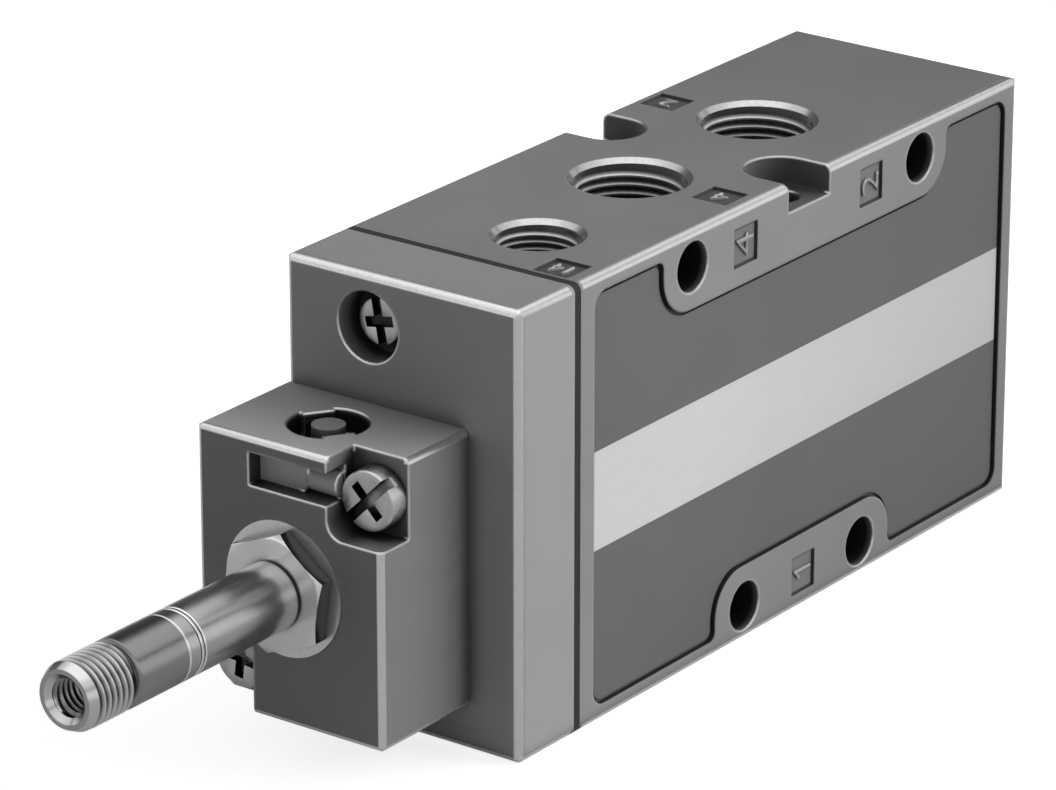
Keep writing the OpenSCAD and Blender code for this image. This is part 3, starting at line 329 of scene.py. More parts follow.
def spare_body(tree, place):
    """0 where the body's edges get no painted highlight: at the number fields, the gasket and the panels'
    rims.
    """
    away = from_fields(tree, place)
    clear = add(tree, "Math", {0: away, 1: (FIELD_HALF + 0.55) * MM}, operation="GREATER_THAN").outputs[0]
    kept = add(tree, "Math", {0: between(tree, place, ("X", BODY_JOINT, 0.6)),
                              1: by_panel_rims(tree, place, HALF_WIDTH - 0.4, 0.6)},
               operation="MAXIMUM").outputs[0]
    return add(tree, "Math", {0: clear, 1: kept}, operation="SUBTRACT", use_clamp=True).outputs[0]


body_paint = painted_casting("satin painted die casting with bare ports", "#878787", "#929292",
                             ((-46, -HALF_WIDTH, 0), (44.5, HALF_WIDTH, BODY_TOP), 1.0),
                             port_bores, shade_fields, spare_body)
dress(body_paint, "valve_body")

# Port threads. G1/4 in the working ports and G1/8 in the pilot supply port, tapped in the bare
# aluminium: a right-hand ridge that starts below the chamfer and runs out above the bore's floor.
# The pitches are a little finer than the real 1.337 and 0.907 mm, as the photograph draws them.


def pick(piece, wanted):
    """Selects the corners of a piece that pass a test of their number and place, in edit mode."""
    bpy.ops.object.mode_set(mode="EDIT")
    bpy.ops.mesh.select_mode(type="VERT")
    bpy.ops.mesh.select_all(action="DESELECT")
    bpy.ops.object.mode_set(mode="OBJECT")
    for corner in piece.data.vertices:
        corner.select = wanted(corner.index, corner.co)
    bpy.ops.object.mode_set(mode="EDIT")


def close_up(piece):
    """Closes a shell's open ends and turns all its faces outwards."""
    bpy.ops.object.mode_set(mode="EDIT")
    bpy.ops.mesh.select_mode(type="EDGE")
    bpy.ops.mesh.select_all(action="DESELECT")
    bpy.ops.mesh.select_non_manifold()
    bpy.ops.mesh.fill_holes(sides=0)
    bpy.ops.mesh.select_all(action="SELECT")
    bpy.ops.mesh.normals_make_consistent(inside=False)
    bpy.ops.object.mode_set(mode="OBJECT")


def use(piece, modifier):
    """Applies a modifier for good."""
    bpy.context.view_layer.objects.active = piece
    bpy.ops.object.modifier_apply(modifier=modifier.name)


def wind_up(outline, turns, rise, steps):
    """Winds an outline round the Z axis, with so many steps to a turn, while it rises by so many mm."""
    wind = outline.modifiers.new("wind", "SCREW")
    wind.angle = 2 * math.pi * turns
    wind.screw_offset = rise * MM
    wind.steps = wind.render_steps = round(steps * turns)
    use(outline, wind)


def alone(piece):
    """Makes a piece the only one that is selected and active."""
    bpy.ops.object.select_all(action="DESELECT")
    piece.select_set(True)
    bpy.context.view_layer.objects.active = piece


def thread_ridge(name, wall, crest, pitch, low, high, steps=40):
    """A right-hand thread's ridge round the Z axis, between two heights, standing on the wall's radius."""
    bpy.ops.object.select_all(action="DESELECT")
    bpy.ops.mesh.primitive_plane_add(size=1, rotation=(math.pi / 2, 0, 0))
    ridge = bpy.context.object
    ridge.name = name
    bpy.ops.object.transform_apply(location=False, rotation=True, scale=False)
    bpy.ops.object.mode_set(mode="EDIT")
    bpy.ops.mesh.select_all(action="SELECT")
    foot, tip, level = 0.86 * pitch * MM, 0.16, (low + 0.5 * pitch) * MM
    bpy.ops.transform.resize(value=(abs(wall - crest) * MM, 1, foot), center_override=(0, 0, 0))
    bpy.ops.transform.translate(value=((wall + crest) / 2 * MM, 0, level))
    pick(ridge, lambda i, p: abs(p.x - crest * MM) < 0.01 * MM)
    bpy.ops.transform.resize(value=(1, 1, tip), center_override=(crest * MM, 0, level))
    bpy.ops.mesh.select_all(action="SELECT")
    bpy.ops.mesh.delete(type="ONLY_FACE")
    bpy.ops.object.mode_set(mode="OBJECT")
    turns = (high - low) / pitch - 1
    wind_up(ridge, turns, pitch * turns, steps)
    rings = len(ridge.data.vertices) // 4
    is_crest = [abs(math.hypot(v.co.x, v.co.y) - crest * MM) < 0.02 * MM for v in ridge.data.vertices]
    # Both ends fade into the wall over a quarter of a turn, as a tap leaves them.
    fade = steps // 4
    for k in range(fade):
        reach = (wall + (crest - wall) * (k + 0.3) / fade) / crest
        pick(ridge, lambda i, p: is_crest[i] and i // 4 in (k, rings - 1 - k))
        bpy.ops.transform.resize(value=(reach, reach, 1), center_override=(0, 0, 0))
    bpy.ops.object.mode_set(mode="OBJECT")
    close_up(ridge)
    bpy.ops.object.shade_smooth_by_angle(angle=math.radians(35))
    return ridge


def stand(piece, finish, body=None, place=None):
    """Sets a finished piece in its place, with its finish and any body that it rides on."""
    alone(piece)
    if place is not None:
        piece.matrix_world = place
        bpy.ops.object.transform_apply(location=True, rotation=True, scale=True)
    piece.data.materials.clear()
    piece.data.materials.append(finish)
    if body:
        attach(piece, body)


def copy_of(piece, name):
    """A second piece like the first, with a mesh of its own."""
    alone(piece)
    bpy.ops.object.duplicate()
    bpy.context.object.name = name
    return bpy.context.object


# Tapped aluminium has a fine chatter of about 0.7 mm, a painted highlight on its crests, and painted shade in
# its roots and down the bore.
tapped, tree, shader, place = new_finish("tapped bare aluminium", 0.6, 0.36)
chatter = add(tree, "TexNoise", {"Vector": place, "Scale": 1500.0, "Detail": 3.0}).outputs["Fac"]
crests = []
for ports in (PORTS_UP, PORTS_DOWN):
    nearest = 1.0
    for x, y, (mouth_r, crest_r) in ports:
        away = from_line(tree, place, "Z", (x, y, 0))
        above = add(tree, "Math", {0: away, 1: crest_r * MM}, operation="SUBTRACT").outputs[0]
        above = add(tree, "Math", {0: above}, operation="ABSOLUTE").outputs[0]
        nearest = add(tree, "Math", {0: nearest, 1: above}, operation="MINIMUM").outputs[0]
    crests.append(nearest)
above = add(tree, "Mix", {0: between(tree, place, UPPER_HALF), 2: crests[1], 3: crests[0]}).outputs[0]
# Painted highlight on the crests and painted shade in the roots.
root = add(tree, "MapRange", {"Value": above, "From Min": 0.06 * MM, "From Max": 0.3 * MM}).outputs[0]
metal = blend_tones(tree, root, blend_tones(tree, chatter, "#c6c6c6", "#dedede"), "#626262")
# Painted shade that deepens down the ports, and in the corners.
metal = blend_tones(tree, down_the_ports(tree, place, 2, 6.5), metal, "#1b1b1b")
tree.links.new(in_corners(tree, metal, "#181818", 0.6 * MM), shader.inputs["Base Color"])
dent(tree, shader, chatter, 0.01 * MM, 0.4)

quarter = thread_ridge("thread_quarter", 6.62, QUARTER[1], 1.1, -11.4, -0.5)
eighth = thread_ridge("thread_eighth", 4.9, EIGHTH[1], 0.85, -9.0, -0.5)
upside_down = Matrix.Rotation(math.pi, 4, "X")
for number, x in ((4, -12.8), (2, 12.8)):
    stand(copy_of(quarter, f"port_{number}_thread"), tapped, "valve",
          Matrix.Translation((x * MM, 0, BODY_TOP * MM)))
for number, x in ((5, -25.6), (1, 0), (3, 25.6)):
    stand(copy_of(quarter, f"port_{number}_thread"), tapped, "valve",
          Matrix.Translation((x * MM, 0, 0)) @ upside_down)
bpy.data.objects.remove(quarter)
eighth.name = "port_14_thread"
stand(eighth, tapped, "valve", Matrix.Translation((-34.5 * MM, -3 * MM, BODY_TOP * MM)))

# Port numbers. Cast on the floors of the shallow fields beside the ports, with their tops towards the
# coil. Those on top are painted pale as a highlight, and those on the side are in the grey paint.
RELIEF = 0.16


def grained(name, metallic, roughness, scale, dark, light, depth=0.0, strength=0.4, detail=3.0):
    """A finish that is alike all over, with so many grains to the metre in its tone and its height."""
    finish, tree, shader, place = new_finish(name, metallic, roughness)
    grain = add(tree, "TexNoise", {"Vector": place, "Scale": scale, "Detail": detail}).outputs["Fac"]
    tree.links.new(blend_tones(tree, grain, dark, light), shader.inputs["Base Color"])
    if depth:
        dent(tree, shader, grain, depth * MM, strength)
    return finish


number_paint = painted_casting("satin paint on a cast number", "#7a7a7a", "#858585")
# The top numbers are painted pale as a highlight, with scuffs of 0.4 mm.
highlit_number = grained("rubbed bright cast number", 0.0, 0.4, 2500.0, "#bababa", "#d4d4d4", 0.01, 0.5, 2.0)


def port_number(name, digits, width, height, finish, place):
    """Raised digits, centred on the place, read along its X axis and standing out along its Z axis."""
    bpy.ops.object.select_all(action="DESELECT")
    bpy.ops.object.text_add()
    words = bpy.context.object
    words.name = name
    words.data.body = digits
    words.data.align_x, words.data.align_y = "CENTER", "CENTER"
    thick, bevel = 0.03, 0.02
    words.data.extrude, words.data.bevel_depth, words.data.bevel_resolution = thick, bevel, 1
    words.data.offset = -0.03
    words.data.space_character = 0.95
    bpy.ops.object.convert(target="MESH")
    # The font's 1 has hardly any flag, so a slanting one is joined to it.
    if digits[0] == "1":
        left, top = (f(v.co[axis] for v in words.data.vertices) for f, axis in ((min, 0), (max, 1)))
        bpy.ops.object.mode_set(mode="EDIT")
        bpy.ops.mesh.primitive_cube_add(size=1, location=(left - 0.04, top - 0.12, 0),
                                        rotation=(0, 0, math.radians(42)), scale=(0.26, 0.075, 0.09))
        bpy.ops.object.mode_set(mode="OBJECT")
    points = [v.co for v in words.data.vertices]
    middle = (Vector(map(min, *points)) + Vector(map(max, *points))) / 2
    size = Vector(map(max, *points)) - Vector(map(min, *points))
    flat = Matrix.Diagonal((width * MM / size.x, height * MM / size.y, RELIEF * MM / (thick + bevel), 1))
    flat = flat @ Matrix.Translation(-middle)
    words.matrix_world = place @ flat
    bpy.ops.object.transform_apply(location=True, rotation=True, scale=True)
    bpy.ops.object.shade_smooth_by_angle(angle=math.radians(30))
    stand(words, finish, "valve")


read_across = Matrix(((0, -1, 0, 0), (1, 0, 0, 0), (0, 0, 1, 0), (0, 0, 0, 1)))
for digits, width, x, y in TOP_NUMBERS:
    port_number(f"number_top_{digits}", digits, width, 2.3, highlit_number,
                Matrix.Translation((x * MM, y * MM, (BODY_TOP - RELIEF) * MM)) @ read_across)
read_upwards = Matrix(((0, -1, 0, 0), (0, 0, -1, 0), (1, 0, 0, 0), (0, 0, 0, 1)))
for digits, width, x, z in SIDE_NUMBERS:
    port_number(f"number_side_{digits}", digits, width, 3.3, number_paint,
                Matrix.Translation((x * MM, -(HALF_WIDTH - RELIEF) * MM, z * MM)) @ read_upwards)

# Side label. Polyester foil, printed dark grey with a light band left across it, and laminated with a
# fine satin film. It is stuck in the cast panel of the near side. The film shows a faint long grain
# of 0.6 by 4.6 mm, coarser than a real film's, so that it shows; painted shade darkens its edge.
foil, tree, shader, place = new_finish("printed polyester foil, satin film", 0.0, 0.38)
band = between(tree, place, ("Z", 26.6, 5.9))
along = add(tree, "Mapping", {"Vector": place, "Scale": (0.12, 1.0, 1.0)}).outputs[0]
grain = add(tree, "TexNoise", {"Vector": along, "Scale": 1800.0, "Detail": 2.0}).outputs["Fac"]
clouds = add(tree, "TexNoise", {"Vector": place, "Scale": 60.0, "Detail": 1.0}).outputs["Fac"]
field = blend_tones(tree, clouds, "#5e5e5e", "#676767")
stripe = blend_tones(tree, grain, "#cccccc", "#d5d5d5")
# Painted shade towards the spring end and the foot.
print_tone = shaded_to_spring_end(tree, place, blend_tones(tree, band, field, stripe))
tree.links.new(in_corners(tree, print_tone, "#1c1c1c", 0.8 * MM, 0.9, 0.55), shader.inputs["Base Color"])
dent(tree, shader, grain, 0.006 * MM, 0.4)
dress(foil, "side_label")

# Cap gasket and all other rubber. Black nitrile, cut from sheet or moulded, and pinched between the
# body and the cap. It is matt and nearly black, with a dust in its skin, drawn as 0.3 mm to show.
rubber = grained("moulded nitrile rubber", 0.0, 0.72, 3000.0, "#1c1c1c", "#2c2c2c", 0.01)
dress(rubber, "cap_gasket")

# End cap. Cast in aluminium and painted as the body is, in a paler copy of its grey that stands for the
# brighter light the cap catches. Two screws hold it on the body's coil end, over the gasket, and it leads the
# air from the supply port to the pilot valve.
CAP_JOINT = -45.4


def shade_joint(tree, place, grey):
    """The seam along the gasket, which holds grime."""
    return blend_tones(tree, between(tree, place, ("X", CAP_JOINT, 0.1)), grey, "#202020")


def spare_cap(tree, place):
    """0 along the gasket, where the cap's edge gets no painted highlight."""
    seam = between(tree, place, ("X", CAP_JOINT, 0.6))
    return add(tree, "Math", {0: 1.0, 1: seam}, operation="SUBTRACT").outputs[0]


cap_paint = painted_casting("satin painted end cap casting", "#969696", "#a1a1a1",
                            ((-55.65, -HALF_WIDTH, 0), (-44, HALF_WIDTH, BODY_TOP), 1.0),
                            None, shade_joint, spare_cap)
dress(cap_paint, "end_cap")

# Pilot housing. A smaller aluminium casting in the same paint, in a darker copy of its grey that stands
# for the shade on the housing. Two long screws hold it on the cap, with a rubber plate behind it that seals
# the air's ways.
HEAD_TOP = 38.3
OVERRIDE_X, OVERRIDE_Y = -63.15, 4.2
LATCH_BLOCK = ("X", -68.9, 0.75), ("Y", 3.35, 5.35), ("Z", 34.6, 1.85)


def shade_head(tree, place, grey):
    """Painted light on the top, stronger towards the front; painted shade that makes the override's recess
    black; and a pale latch block.
    """
    spot = add(tree, "SeparateXYZ", {0: place})
    towards_front = add(tree, "MapRange", {"Value": spot.outputs["X"], "From Min": -56 * MM,
                                           "From Max": -71 * MM, "To Min": 0.5}).outputs[0]
    # Painted light on the top.
    top_light = add(tree, "Math", {0: between(tree, place, ("Z", HEAD_TOP, 0.05)), 1: towards_front},
                  operation="MULTIPLY").outputs[0]
    grey = blend_tones(tree, top_light, grey, "#cacaca")
    away = from_line(tree, place, "Z", (OVERRIDE_X, OVERRIDE_Y, 0))
    near = add(tree, "Math", {0: away, 1: 4.65 * MM}, operation="LESS_THAN").outputs[0]
    sunk = add(tree, "MapRange", {"Value": spot.outputs["Z"], "From Min": (HEAD_TOP - 0.1) * MM,
                                  "From Max": (HEAD_TOP - 0.7) * MM}).outputs[0]
    recess = add(tree, "Math", {0: near, 1: sunk}, operation="MULTIPLY").outputs[0]
    # Painted shade in the override's recess.
    grey = blend_tones(tree, recess, grey, "#111111")
    pale_latch = add(tree, "Math", {0: between(tree, place, *LATCH_BLOCK), 1: 0.85}, operation="MULTIPLY")
    return blend_tones(tree, pale_latch.outputs[0], grey, "#c6c6c6")


head_paint = painted_casting("satin painted pilot housing casting", "#787878", "#828282",
                             ((-71.4, -9.3, 5.5), (-54, 16, HEAD_TOP), 0.8), None, shade_head)
dress(head_paint, "pilot_housing")
dress(rubber, "pilot_gasket")

# Screws. Cheese heads with a slot and a shorter cross slot, zinc plated steel. The cap screws lie in
# counterbores in the cap, and the pilot screws stand in the housing's notches. The plate is bright
# and faintly clouded at 1 mm, with painted shade in the slots and under the heads.
zinc, tree, shader, place = new_finish("zinc plated steel", 1.0, 0.3)
plating = add(tree, "TexNoise", {"Vector": place, "Scale": 900.0, "Detail": 3.0}).outputs["Fac"]
# Each screw's place across and up, in mm, and its turn in degrees.
CAP_SCREWS, PILOT_SCREWS = ((4.5, 47.1, -11), (0, 6, 38)), ((-5.6, 33.4, 45), (12.3, 10.4, 98))
# Painted shade under the heads, within 2.2 mm.
bright = in_corners(tree, blend_tones(tree, plating, "#bbbbbb", "#dedede"), "#1c1c1c", 2.2 * MM, 0.8, 0.4)
for face_x, head_r, spots in ((-53.65, 2.8, CAP_SCREWS), (-69.05, 3.5, PILOT_SCREWS)):
    floor_x = face_x + 0.55
    behind = between(tree, place, ("X", floor_x, 0.47))
    for y, z, turn in spots:
        away = add(tree, "VectorMath", {0: place, 1: (floor_x * MM, y * MM, z * MM)}, operation="DISTANCE")
        near = add(tree, "Math", {0: away.outputs["Value"], 1: (head_r - 0.1) * MM}, operation="LESS_THAN")
        slot_shade = add(tree, "Math", {0: near.outputs[0], 1: behind}, operation="MULTIPLY").outputs[0]
        # Painted shade on the slots' floors.
        bright = blend_tones(tree, slot_shade, bright, "#3b3b3b")
tree.links.new(bright, shader.inputs["Base Color"])
worn = add(tree, "MapRange", {"Value": plating, "To Min": 0.2, "To Max": 0.42}).outputs[0]
tree.links.new(worn, shader.inputs["Roughness"])
dent(tree, shader, plating, 0.01 * MM, 0.3)
SCREW_SLOT = 1.2


def cheese_screw(name, head_r, head_h, root, length):
    """A screw that stands on the Z axis with its head's seat at 0 and its shank upwards."""
    bpy.ops.object.select_all(action="DESELECT")
    bpy.ops.mesh.primitive_cylinder_add(vertices=64, radius=head_r * MM, depth=head_h * MM,
                                        location=(0, 0, -head_h / 2 * MM))
    screw = bpy.context.object
    screw.name = name
    bpy.ops.object.transform_apply(location=True, rotation=True, scale=True)
    pick(screw, lambda i, p: p.z < -0.99 * head_h * MM)
    bpy.ops.mesh.bevel(offset=0.22 * MM, segments=4, affect="EDGES")
    pick(screw, lambda i, p: p.z > -0.01 * MM)
    bpy.ops.mesh.select_mode(type="FACE")
    bpy.ops.mesh.inset(thickness=(head_r - root) * MM)
    bpy.ops.mesh.extrude_region_move(TRANSFORM_OT_translate={"value": (0, 0, (length - 0.6) * MM)})
    bpy.ops.mesh.extrude_region_move(TRANSFORM_OT_translate={"value": (0, 0, 0.6 * MM)})
    bpy.ops.transform.resize(value=(0.7, 0.7, 1), center_override=(0, 0, length * MM))
    bpy.ops.object.mode_set(mode="OBJECT")
    for size in ((2.4 * head_r, SCREW_SLOT), (SCREW_SLOT, 1.35 * head_r)):
        bpy.ops.mesh.primitive_cube_add(size=1, location=(0, 0, -head_h * MM))
        cutter = bpy.context.object
        cutter.scale = (size[0] * MM, size[1] * MM, head_h * MM)
        slot = screw.modifiers.new("slot", "BOOLEAN")
        slot.operation, slot.object = "DIFFERENCE", cutter
        use(screw, slot)
        bpy.data.objects.remove(cutter)
    soft = screw.modifiers.new("soft edges", "BEVEL")
    soft.width, soft.segments, soft.angle_limit = 0.07 * MM, 2, math.radians(50)
    use(screw, soft)
    ridge = thread_ridge(name + "_ridge", root - 0.05, root + 0.3, 0.7, 0.6, length - 0.3, 24)
    alone(screw)
    ridge.select_set(True)
    bpy.ops.object.join()
    bpy.ops.object.shade_smooth_by_angle(angle=math.radians(30))
    return screw


lie_along = Matrix.Rotation(math.pi / 2, 4, "Y")
# Each screw's form is its head's radius and height, its root's radius and its length.
for name, node, form, x, spots in (
        ("cap_screw", "cap_screws", (2.8, 2.0, 1.17, 16), -51.65, CAP_SCREWS),
        ("pilot_screw", "pilot_screws", (3.5, 2.6, 1.62, 18), -66.45, PILOT_SCREWS)):
    model = cheese_screw(name, *form)
    for label, (y, z, turn) in zip(("upper", "lower"), spots):
        screw = copy_of(model, f"{name}_{label}")
        stand(screw, zinc, "valve", Matrix.Translation((x * MM, y * MM, z * MM)) @ lie_along
              @ Matrix.Rotation(math.radians(turn), 4, "Z"))
        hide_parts(node)
    bpy.data.objects.remove(model)

# Armature tube, its washer and the armature. Turned from stainless bar and ground bright, so the
# lights lie along it in long bands, with turning marks round it. They are drawn at 0.26 mm, coarser
# than the real 0.1 mm, so that they show. The hexagon's end face has a painted highlight, and its flats
# painted shade.
TUBE_Y, TUBE_Z = 4.0, 21.7
turned, tree, shader, place = new_finish("turned stainless steel", 1.0, 0.2)
marks = add(tree, "TexWave", {"Vector": place, "Scale": 1200.0, "Distortion": 1.5, "Detail": 2.0,
                              "Detail Scale": 3.0}, wave_type="BANDS", bands_direction="X").outputs["Fac"]
smear = add(tree, "TexNoise", {"Vector": place, "Scale": 400.0, "Detail": 2.0}).outputs["Fac"]
along = add(tree, "SeparateXYZ", {0: place}).outputs["X"]
hexagon = add(tree, "Math", {0: along, 1: -73.81 * MM}, operation="GREATER_THAN").outputs[0]
far_end = add(tree, "Math", {0: along, 1: -92.16 * MM}, operation="LESS_THAN").outputs[0]
steel = blend_tones(tree, far_end, blend_tones(tree, smear, "#b2b2b2", "#c2c2c2"), "#989898")
# Painted highlight on the hexagon's end face.
steel = blend_tones(tree, hexagon, steel, "#eaeaea")
lengthwise = add(tree, "SeparateXYZ", {0: add(tree, "TexCoord").outputs["Normal"]}).outputs["X"]
lengthwise = add(tree, "Math", {0: lengthwise}, operation="ABSOLUTE").outputs[0]
# Painted shade on the hexagon's flats, and in the corners within 0.8 mm.
flat_shade = add(tree, "MapRange", {"Value": lengthwise, "From Min": 0.3, "From Max": 0.15}).outputs[0]
flat_shade = add(tree, "Math", {0: flat_shade, 1: hexagon}, operation="MULTIPLY").outputs[0]
steel = in_corners(tree, blend_tones(tree, flat_shade, steel, "#4e4e4e"), "#1c1c1c", 0.8 * MM)
# Painted highlights and shade on the crimp's grooves and the edges round the tube: where each lies, half its
# width and its tone.
for x, reach, tone in ((-107.55, 0.55, "#cbcbcb"), (-108.15, 0.03, "#b0b0b0"), (-73.96, 0.14, "#303030"),
                       (-92.27, 0.16, "#f7f7f7"), (-90.35, 0.24, "#f1f1f1"), (-89.75, 0.24, "#f1f1f1"),
                       (-90.35, 0.09, "#242424"), (-89.75, 0.09, "#242424")):
    steel = blend_tones(tree, between(tree, place, ("X", x, reach)), steel, tone)
# Painted highlights on the nut thread's crests and painted shade in its roots.
off_axis = from_line(tree, place, "X", (0, TUBE_Y, TUBE_Z))
crests = add(tree, "MapRange", {"Value": off_axis, "From Min": 3.45 * MM, "From Max": 3.95 * MM}).outputs[0]
outside = add(tree, "Math", {0: off_axis, 1: 3.3 * MM}, operation="GREATER_THAN").outputs[0]
threaded = add(tree, "Math", {0: between(tree, place, ("X", -103.7, 3.2)), 1: outside},
               operation="MULTIPLY").outputs[0]
steel = blend_tones(tree, threaded, steel, blend_tones(tree, crests, "#232323", "#d8d8d8"))
tree.links.new(steel, shader.inputs["Base Color"])
sheen = add(tree, "MapRange", {"Value": smear, "To Min": 0.2, "To Max": 0.27}).outputs[0]
tree.links.new(sheen, shader.inputs["Roughness"])
dent(tree, shader, marks, 0.004 * MM, 0.25)
dress(turned, "armature_tube", "armature")
# Nickel plate is the brightest metal here, with a faint grind of 0.7 mm.
plated = grained("bright nickel plated washer", 1.0, 0.32, 1500.0, "#e6e6e6", "#f1f1f1", 0.006, 0.3)
dress(plated, "tube_washer")
dress(rubber, "tube_o_ring", "armature_seat_seal", "armature_exhaust_seal")

# Fixed core. Turned like the tube and crimped in its end. It carries the M8 x 1 thread of the coil nut
# and the tapped M5 exhaust port, so it is drawn here in full and stands for the plain CAD core. The
# nut's thread has the photograph's bands of 0.88 mm.


def turned_piece(name, stations, sides=72):
    """A closed piece turned about the X axis: one ring is drawn out from station to station."""
    bpy.ops.object.select_all(action="DESELECT")
    x, r = stations[0]
    bpy.ops.mesh.primitive_circle_add(vertices=sides, radius=r * MM, fill_type="NOTHING",
                                      location=(x * MM, 0, 0), rotation=(0, math.pi / 2, 0))
    piece = bpy.context.object
    piece.name = name
    bpy.ops.object.transform_apply(location=True, rotation=True, scale=True)
    bpy.ops.object.mode_set(mode="EDIT")
    bpy.ops.mesh.select_all(action="SELECT")
    for next_x, next_r in stations[1:]:
        bpy.ops.mesh.extrude_region_move(TRANSFORM_OT_translate={"value": ((next_x - x) * MM, 0, 0)})
        bpy.ops.transform.resize(value=(1, next_r / r, next_r / r), center_override=(next_x * MM, 0, 0))
        x, r = next_x, next_r
    bpy.ops.mesh.select_all(action="DESELECT")
    bpy.ops.mesh.select_non_manifold()
    bpy.ops.mesh.bridge_edge_loops()
    bpy.ops.mesh.select_all(action="SELECT")
    bpy.ops.mesh.normals_make_consistent(inside=False)
    bpy.ops.object.mode_set(mode="OBJECT")
    return piece


# The outline runs from the tapped port's mouth round the outside and back through the bore.
core = turned_piece("core_with_threads", [
    (-108.15, 2.85), (-108.15, 3.36), (-108.1, 3.4), (-106.98, 3.93), (-106.9, 3.9), (-106.7, 3.42),
    (-100.3, 3.42), (-100.1, 3.9), (-100.0, 4.0), (-92.42, 4.0), (-92.3, 3.9), (-92.15, 3.9), (-92.15, 3.45),
    (-86.4, 3.45), (-86.3, 3.35), (-86.3, 2.95), (-87.85, 2.95), (-87.85, 2.2), (-86.3, 2.2), (-86.3, 0.85),
    (-86.35, 0.8), (-100.1, 0.8), (-100.15, 2.5), (-107.4, 2.5), (-107.5, 2.2)])
nut_thread = thread_ridge("nut_thread", 3.4, 4.0, 0.88, -107.2, -100.4)
exhaust_thread = thread_ridge("exhaust_thread", 2.55, 2.1, 0.8, -107.35, -100.3)
for ridge in (nut_thread, exhaust_thread):
    alone(ridge)
    ridge.matrix_world = lie_along
    bpy.ops.object.transform_apply(location=True, rotation=True, scale=True)
alone(core)
nut_thread.select_set(True)
exhaust_thread.select_set(True)
bpy.ops.object.join()
bpy.ops.object.shade_smooth_by_angle(angle=math.radians(30))
stand(core, turned, "valve", Matrix.Translation((0, TUBE_Y * MM, TUBE_Z * MM)))
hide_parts("fixed_core")

# Shading ring and seat nozzle. The ring is drawn copper, let into the core's face, reddish with a
# little tarnish. The nozzle is brass, turned to a fine lip for the armature's seal, and yellower.
copper = grained("drawn copper", 1.0, 0.3, 1200.0, "#a85f38", "#d08a5c")
dress(copper, "shading_ring")
brass = grained("turned brass", 1.0, 0.25, 1200.0, "#b08d3c", "#d8b766")
dress(brass, "seat_nozzle")

# Manual override. A turned nickel-plated button in a pressed-in bush of glass-filled nylon, with an
# O-ring and a spring under it. The nylon is nearly black and dull, with 0.3 mm fibres in its skin,
# and the button is bright, with rings of 0.35 mm, coarser than the real ones, so that they show.
nylon = grained("moulded glass-filled nylon", 0.0, 0.55, 3500.0, "#1a1a1a", "#292929", 0.01)
dress(nylon, "override_bush", "pilot_piston")
nickel, tree, shader, place = new_finish("turned and nickel plated", 1.0, 0.42)
centred = add(tree, "Mapping", {"Vector": place, "Location": (-OVERRIDE_X * MM, -OVERRIDE_Y * MM, 0)})
rings = add(tree, "TexWave", {"Vector": centred.outputs[0], "Scale": 900.0}, wave_type="RINGS",
            rings_direction="Z").outputs["Fac"]
tree.links.new(blend_tones(tree, rings, "#b6b6b6", "#cccccc"), shader.inputs["Base Color"])
dent(tree, shader, rings, 0.004 * MM, 0.5)
dress(nickel, "override_button")
dress(rubber, "override_o_ring")

# Springs and retaining ring. Hard drawn spring steel, oiled, darker than the turned pieces, with 0.6 mm
# drawing marks. Each spring is wound from round wire, and its ends are ground flat.
wire = grained("hard drawn spring steel", 1.0, 0.32, 1600.0, "#717171", "#9c9c9c", 0.006)
dress(wire, "retaining_ring")


def wound_spring(name, coil_r, wire_r, length, turns):
    """A spring that stands on the Z axis from 0 up to its length, with both ends ground flat."""
    bpy.ops.object.select_all(action="DESELECT")
    bpy.ops.mesh.primitive_circle_add(vertices=12, radius=wire_r * MM, fill_type="NOTHING",
                                      location=(coil_r * MM, 0, 0.5 * wire_r * MM),
                                      rotation=(math.pi / 2, 0, 0))
    spring = bpy.context.object
    spring.name = name
    bpy.ops.object.transform_apply(location=True, rotation=True, scale=True)
    wind_up(spring, turns, length - wire_r, 32)
    close_up(spring)
    for height, way in ((0.02, -1), (length - 0.02, 1)):
        bpy.ops.object.mode_set(mode="EDIT")
        bpy.ops.mesh.select_all(action="SELECT")
        bpy.ops.mesh.bisect(plane_co=(0, 0, height * MM), plane_no=(0, 0, way), use_fill=True,
                            clear_outer=True)
        bpy.ops.object.mode_set(mode="OBJECT")
    bpy.ops.object.shade_smooth_by_angle(angle=math.radians(40))
    return spring


# Each spring's coil and wire as radii, its length and turns, its foot's place, and what it pushes.
for name, form, foot, lying, body in (
        ("return_spring", (2.85, 0.4, 16, 7), (22.3, 0, BODY_TOP / 2), True, "spool"),
        ("armature_spring", (4.015, 0.3, 3.5, 3), (-70.5, TUBE_Y, TUBE_Z), True, "armature"),
        ("override_spring", (2.5, 0.25, 3.2, 2.75), (OVERRIDE_X, OVERRIDE_Y, 30.3), False, "override")):
    foot = Vector(foot) * MM
    spring = wound_spring("wound_" + name, *form)
    stand(spring, wire, None, Matrix.Translation(foot) @ (lie_along if lying else Matrix()))
    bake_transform(spring)
    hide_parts(name)

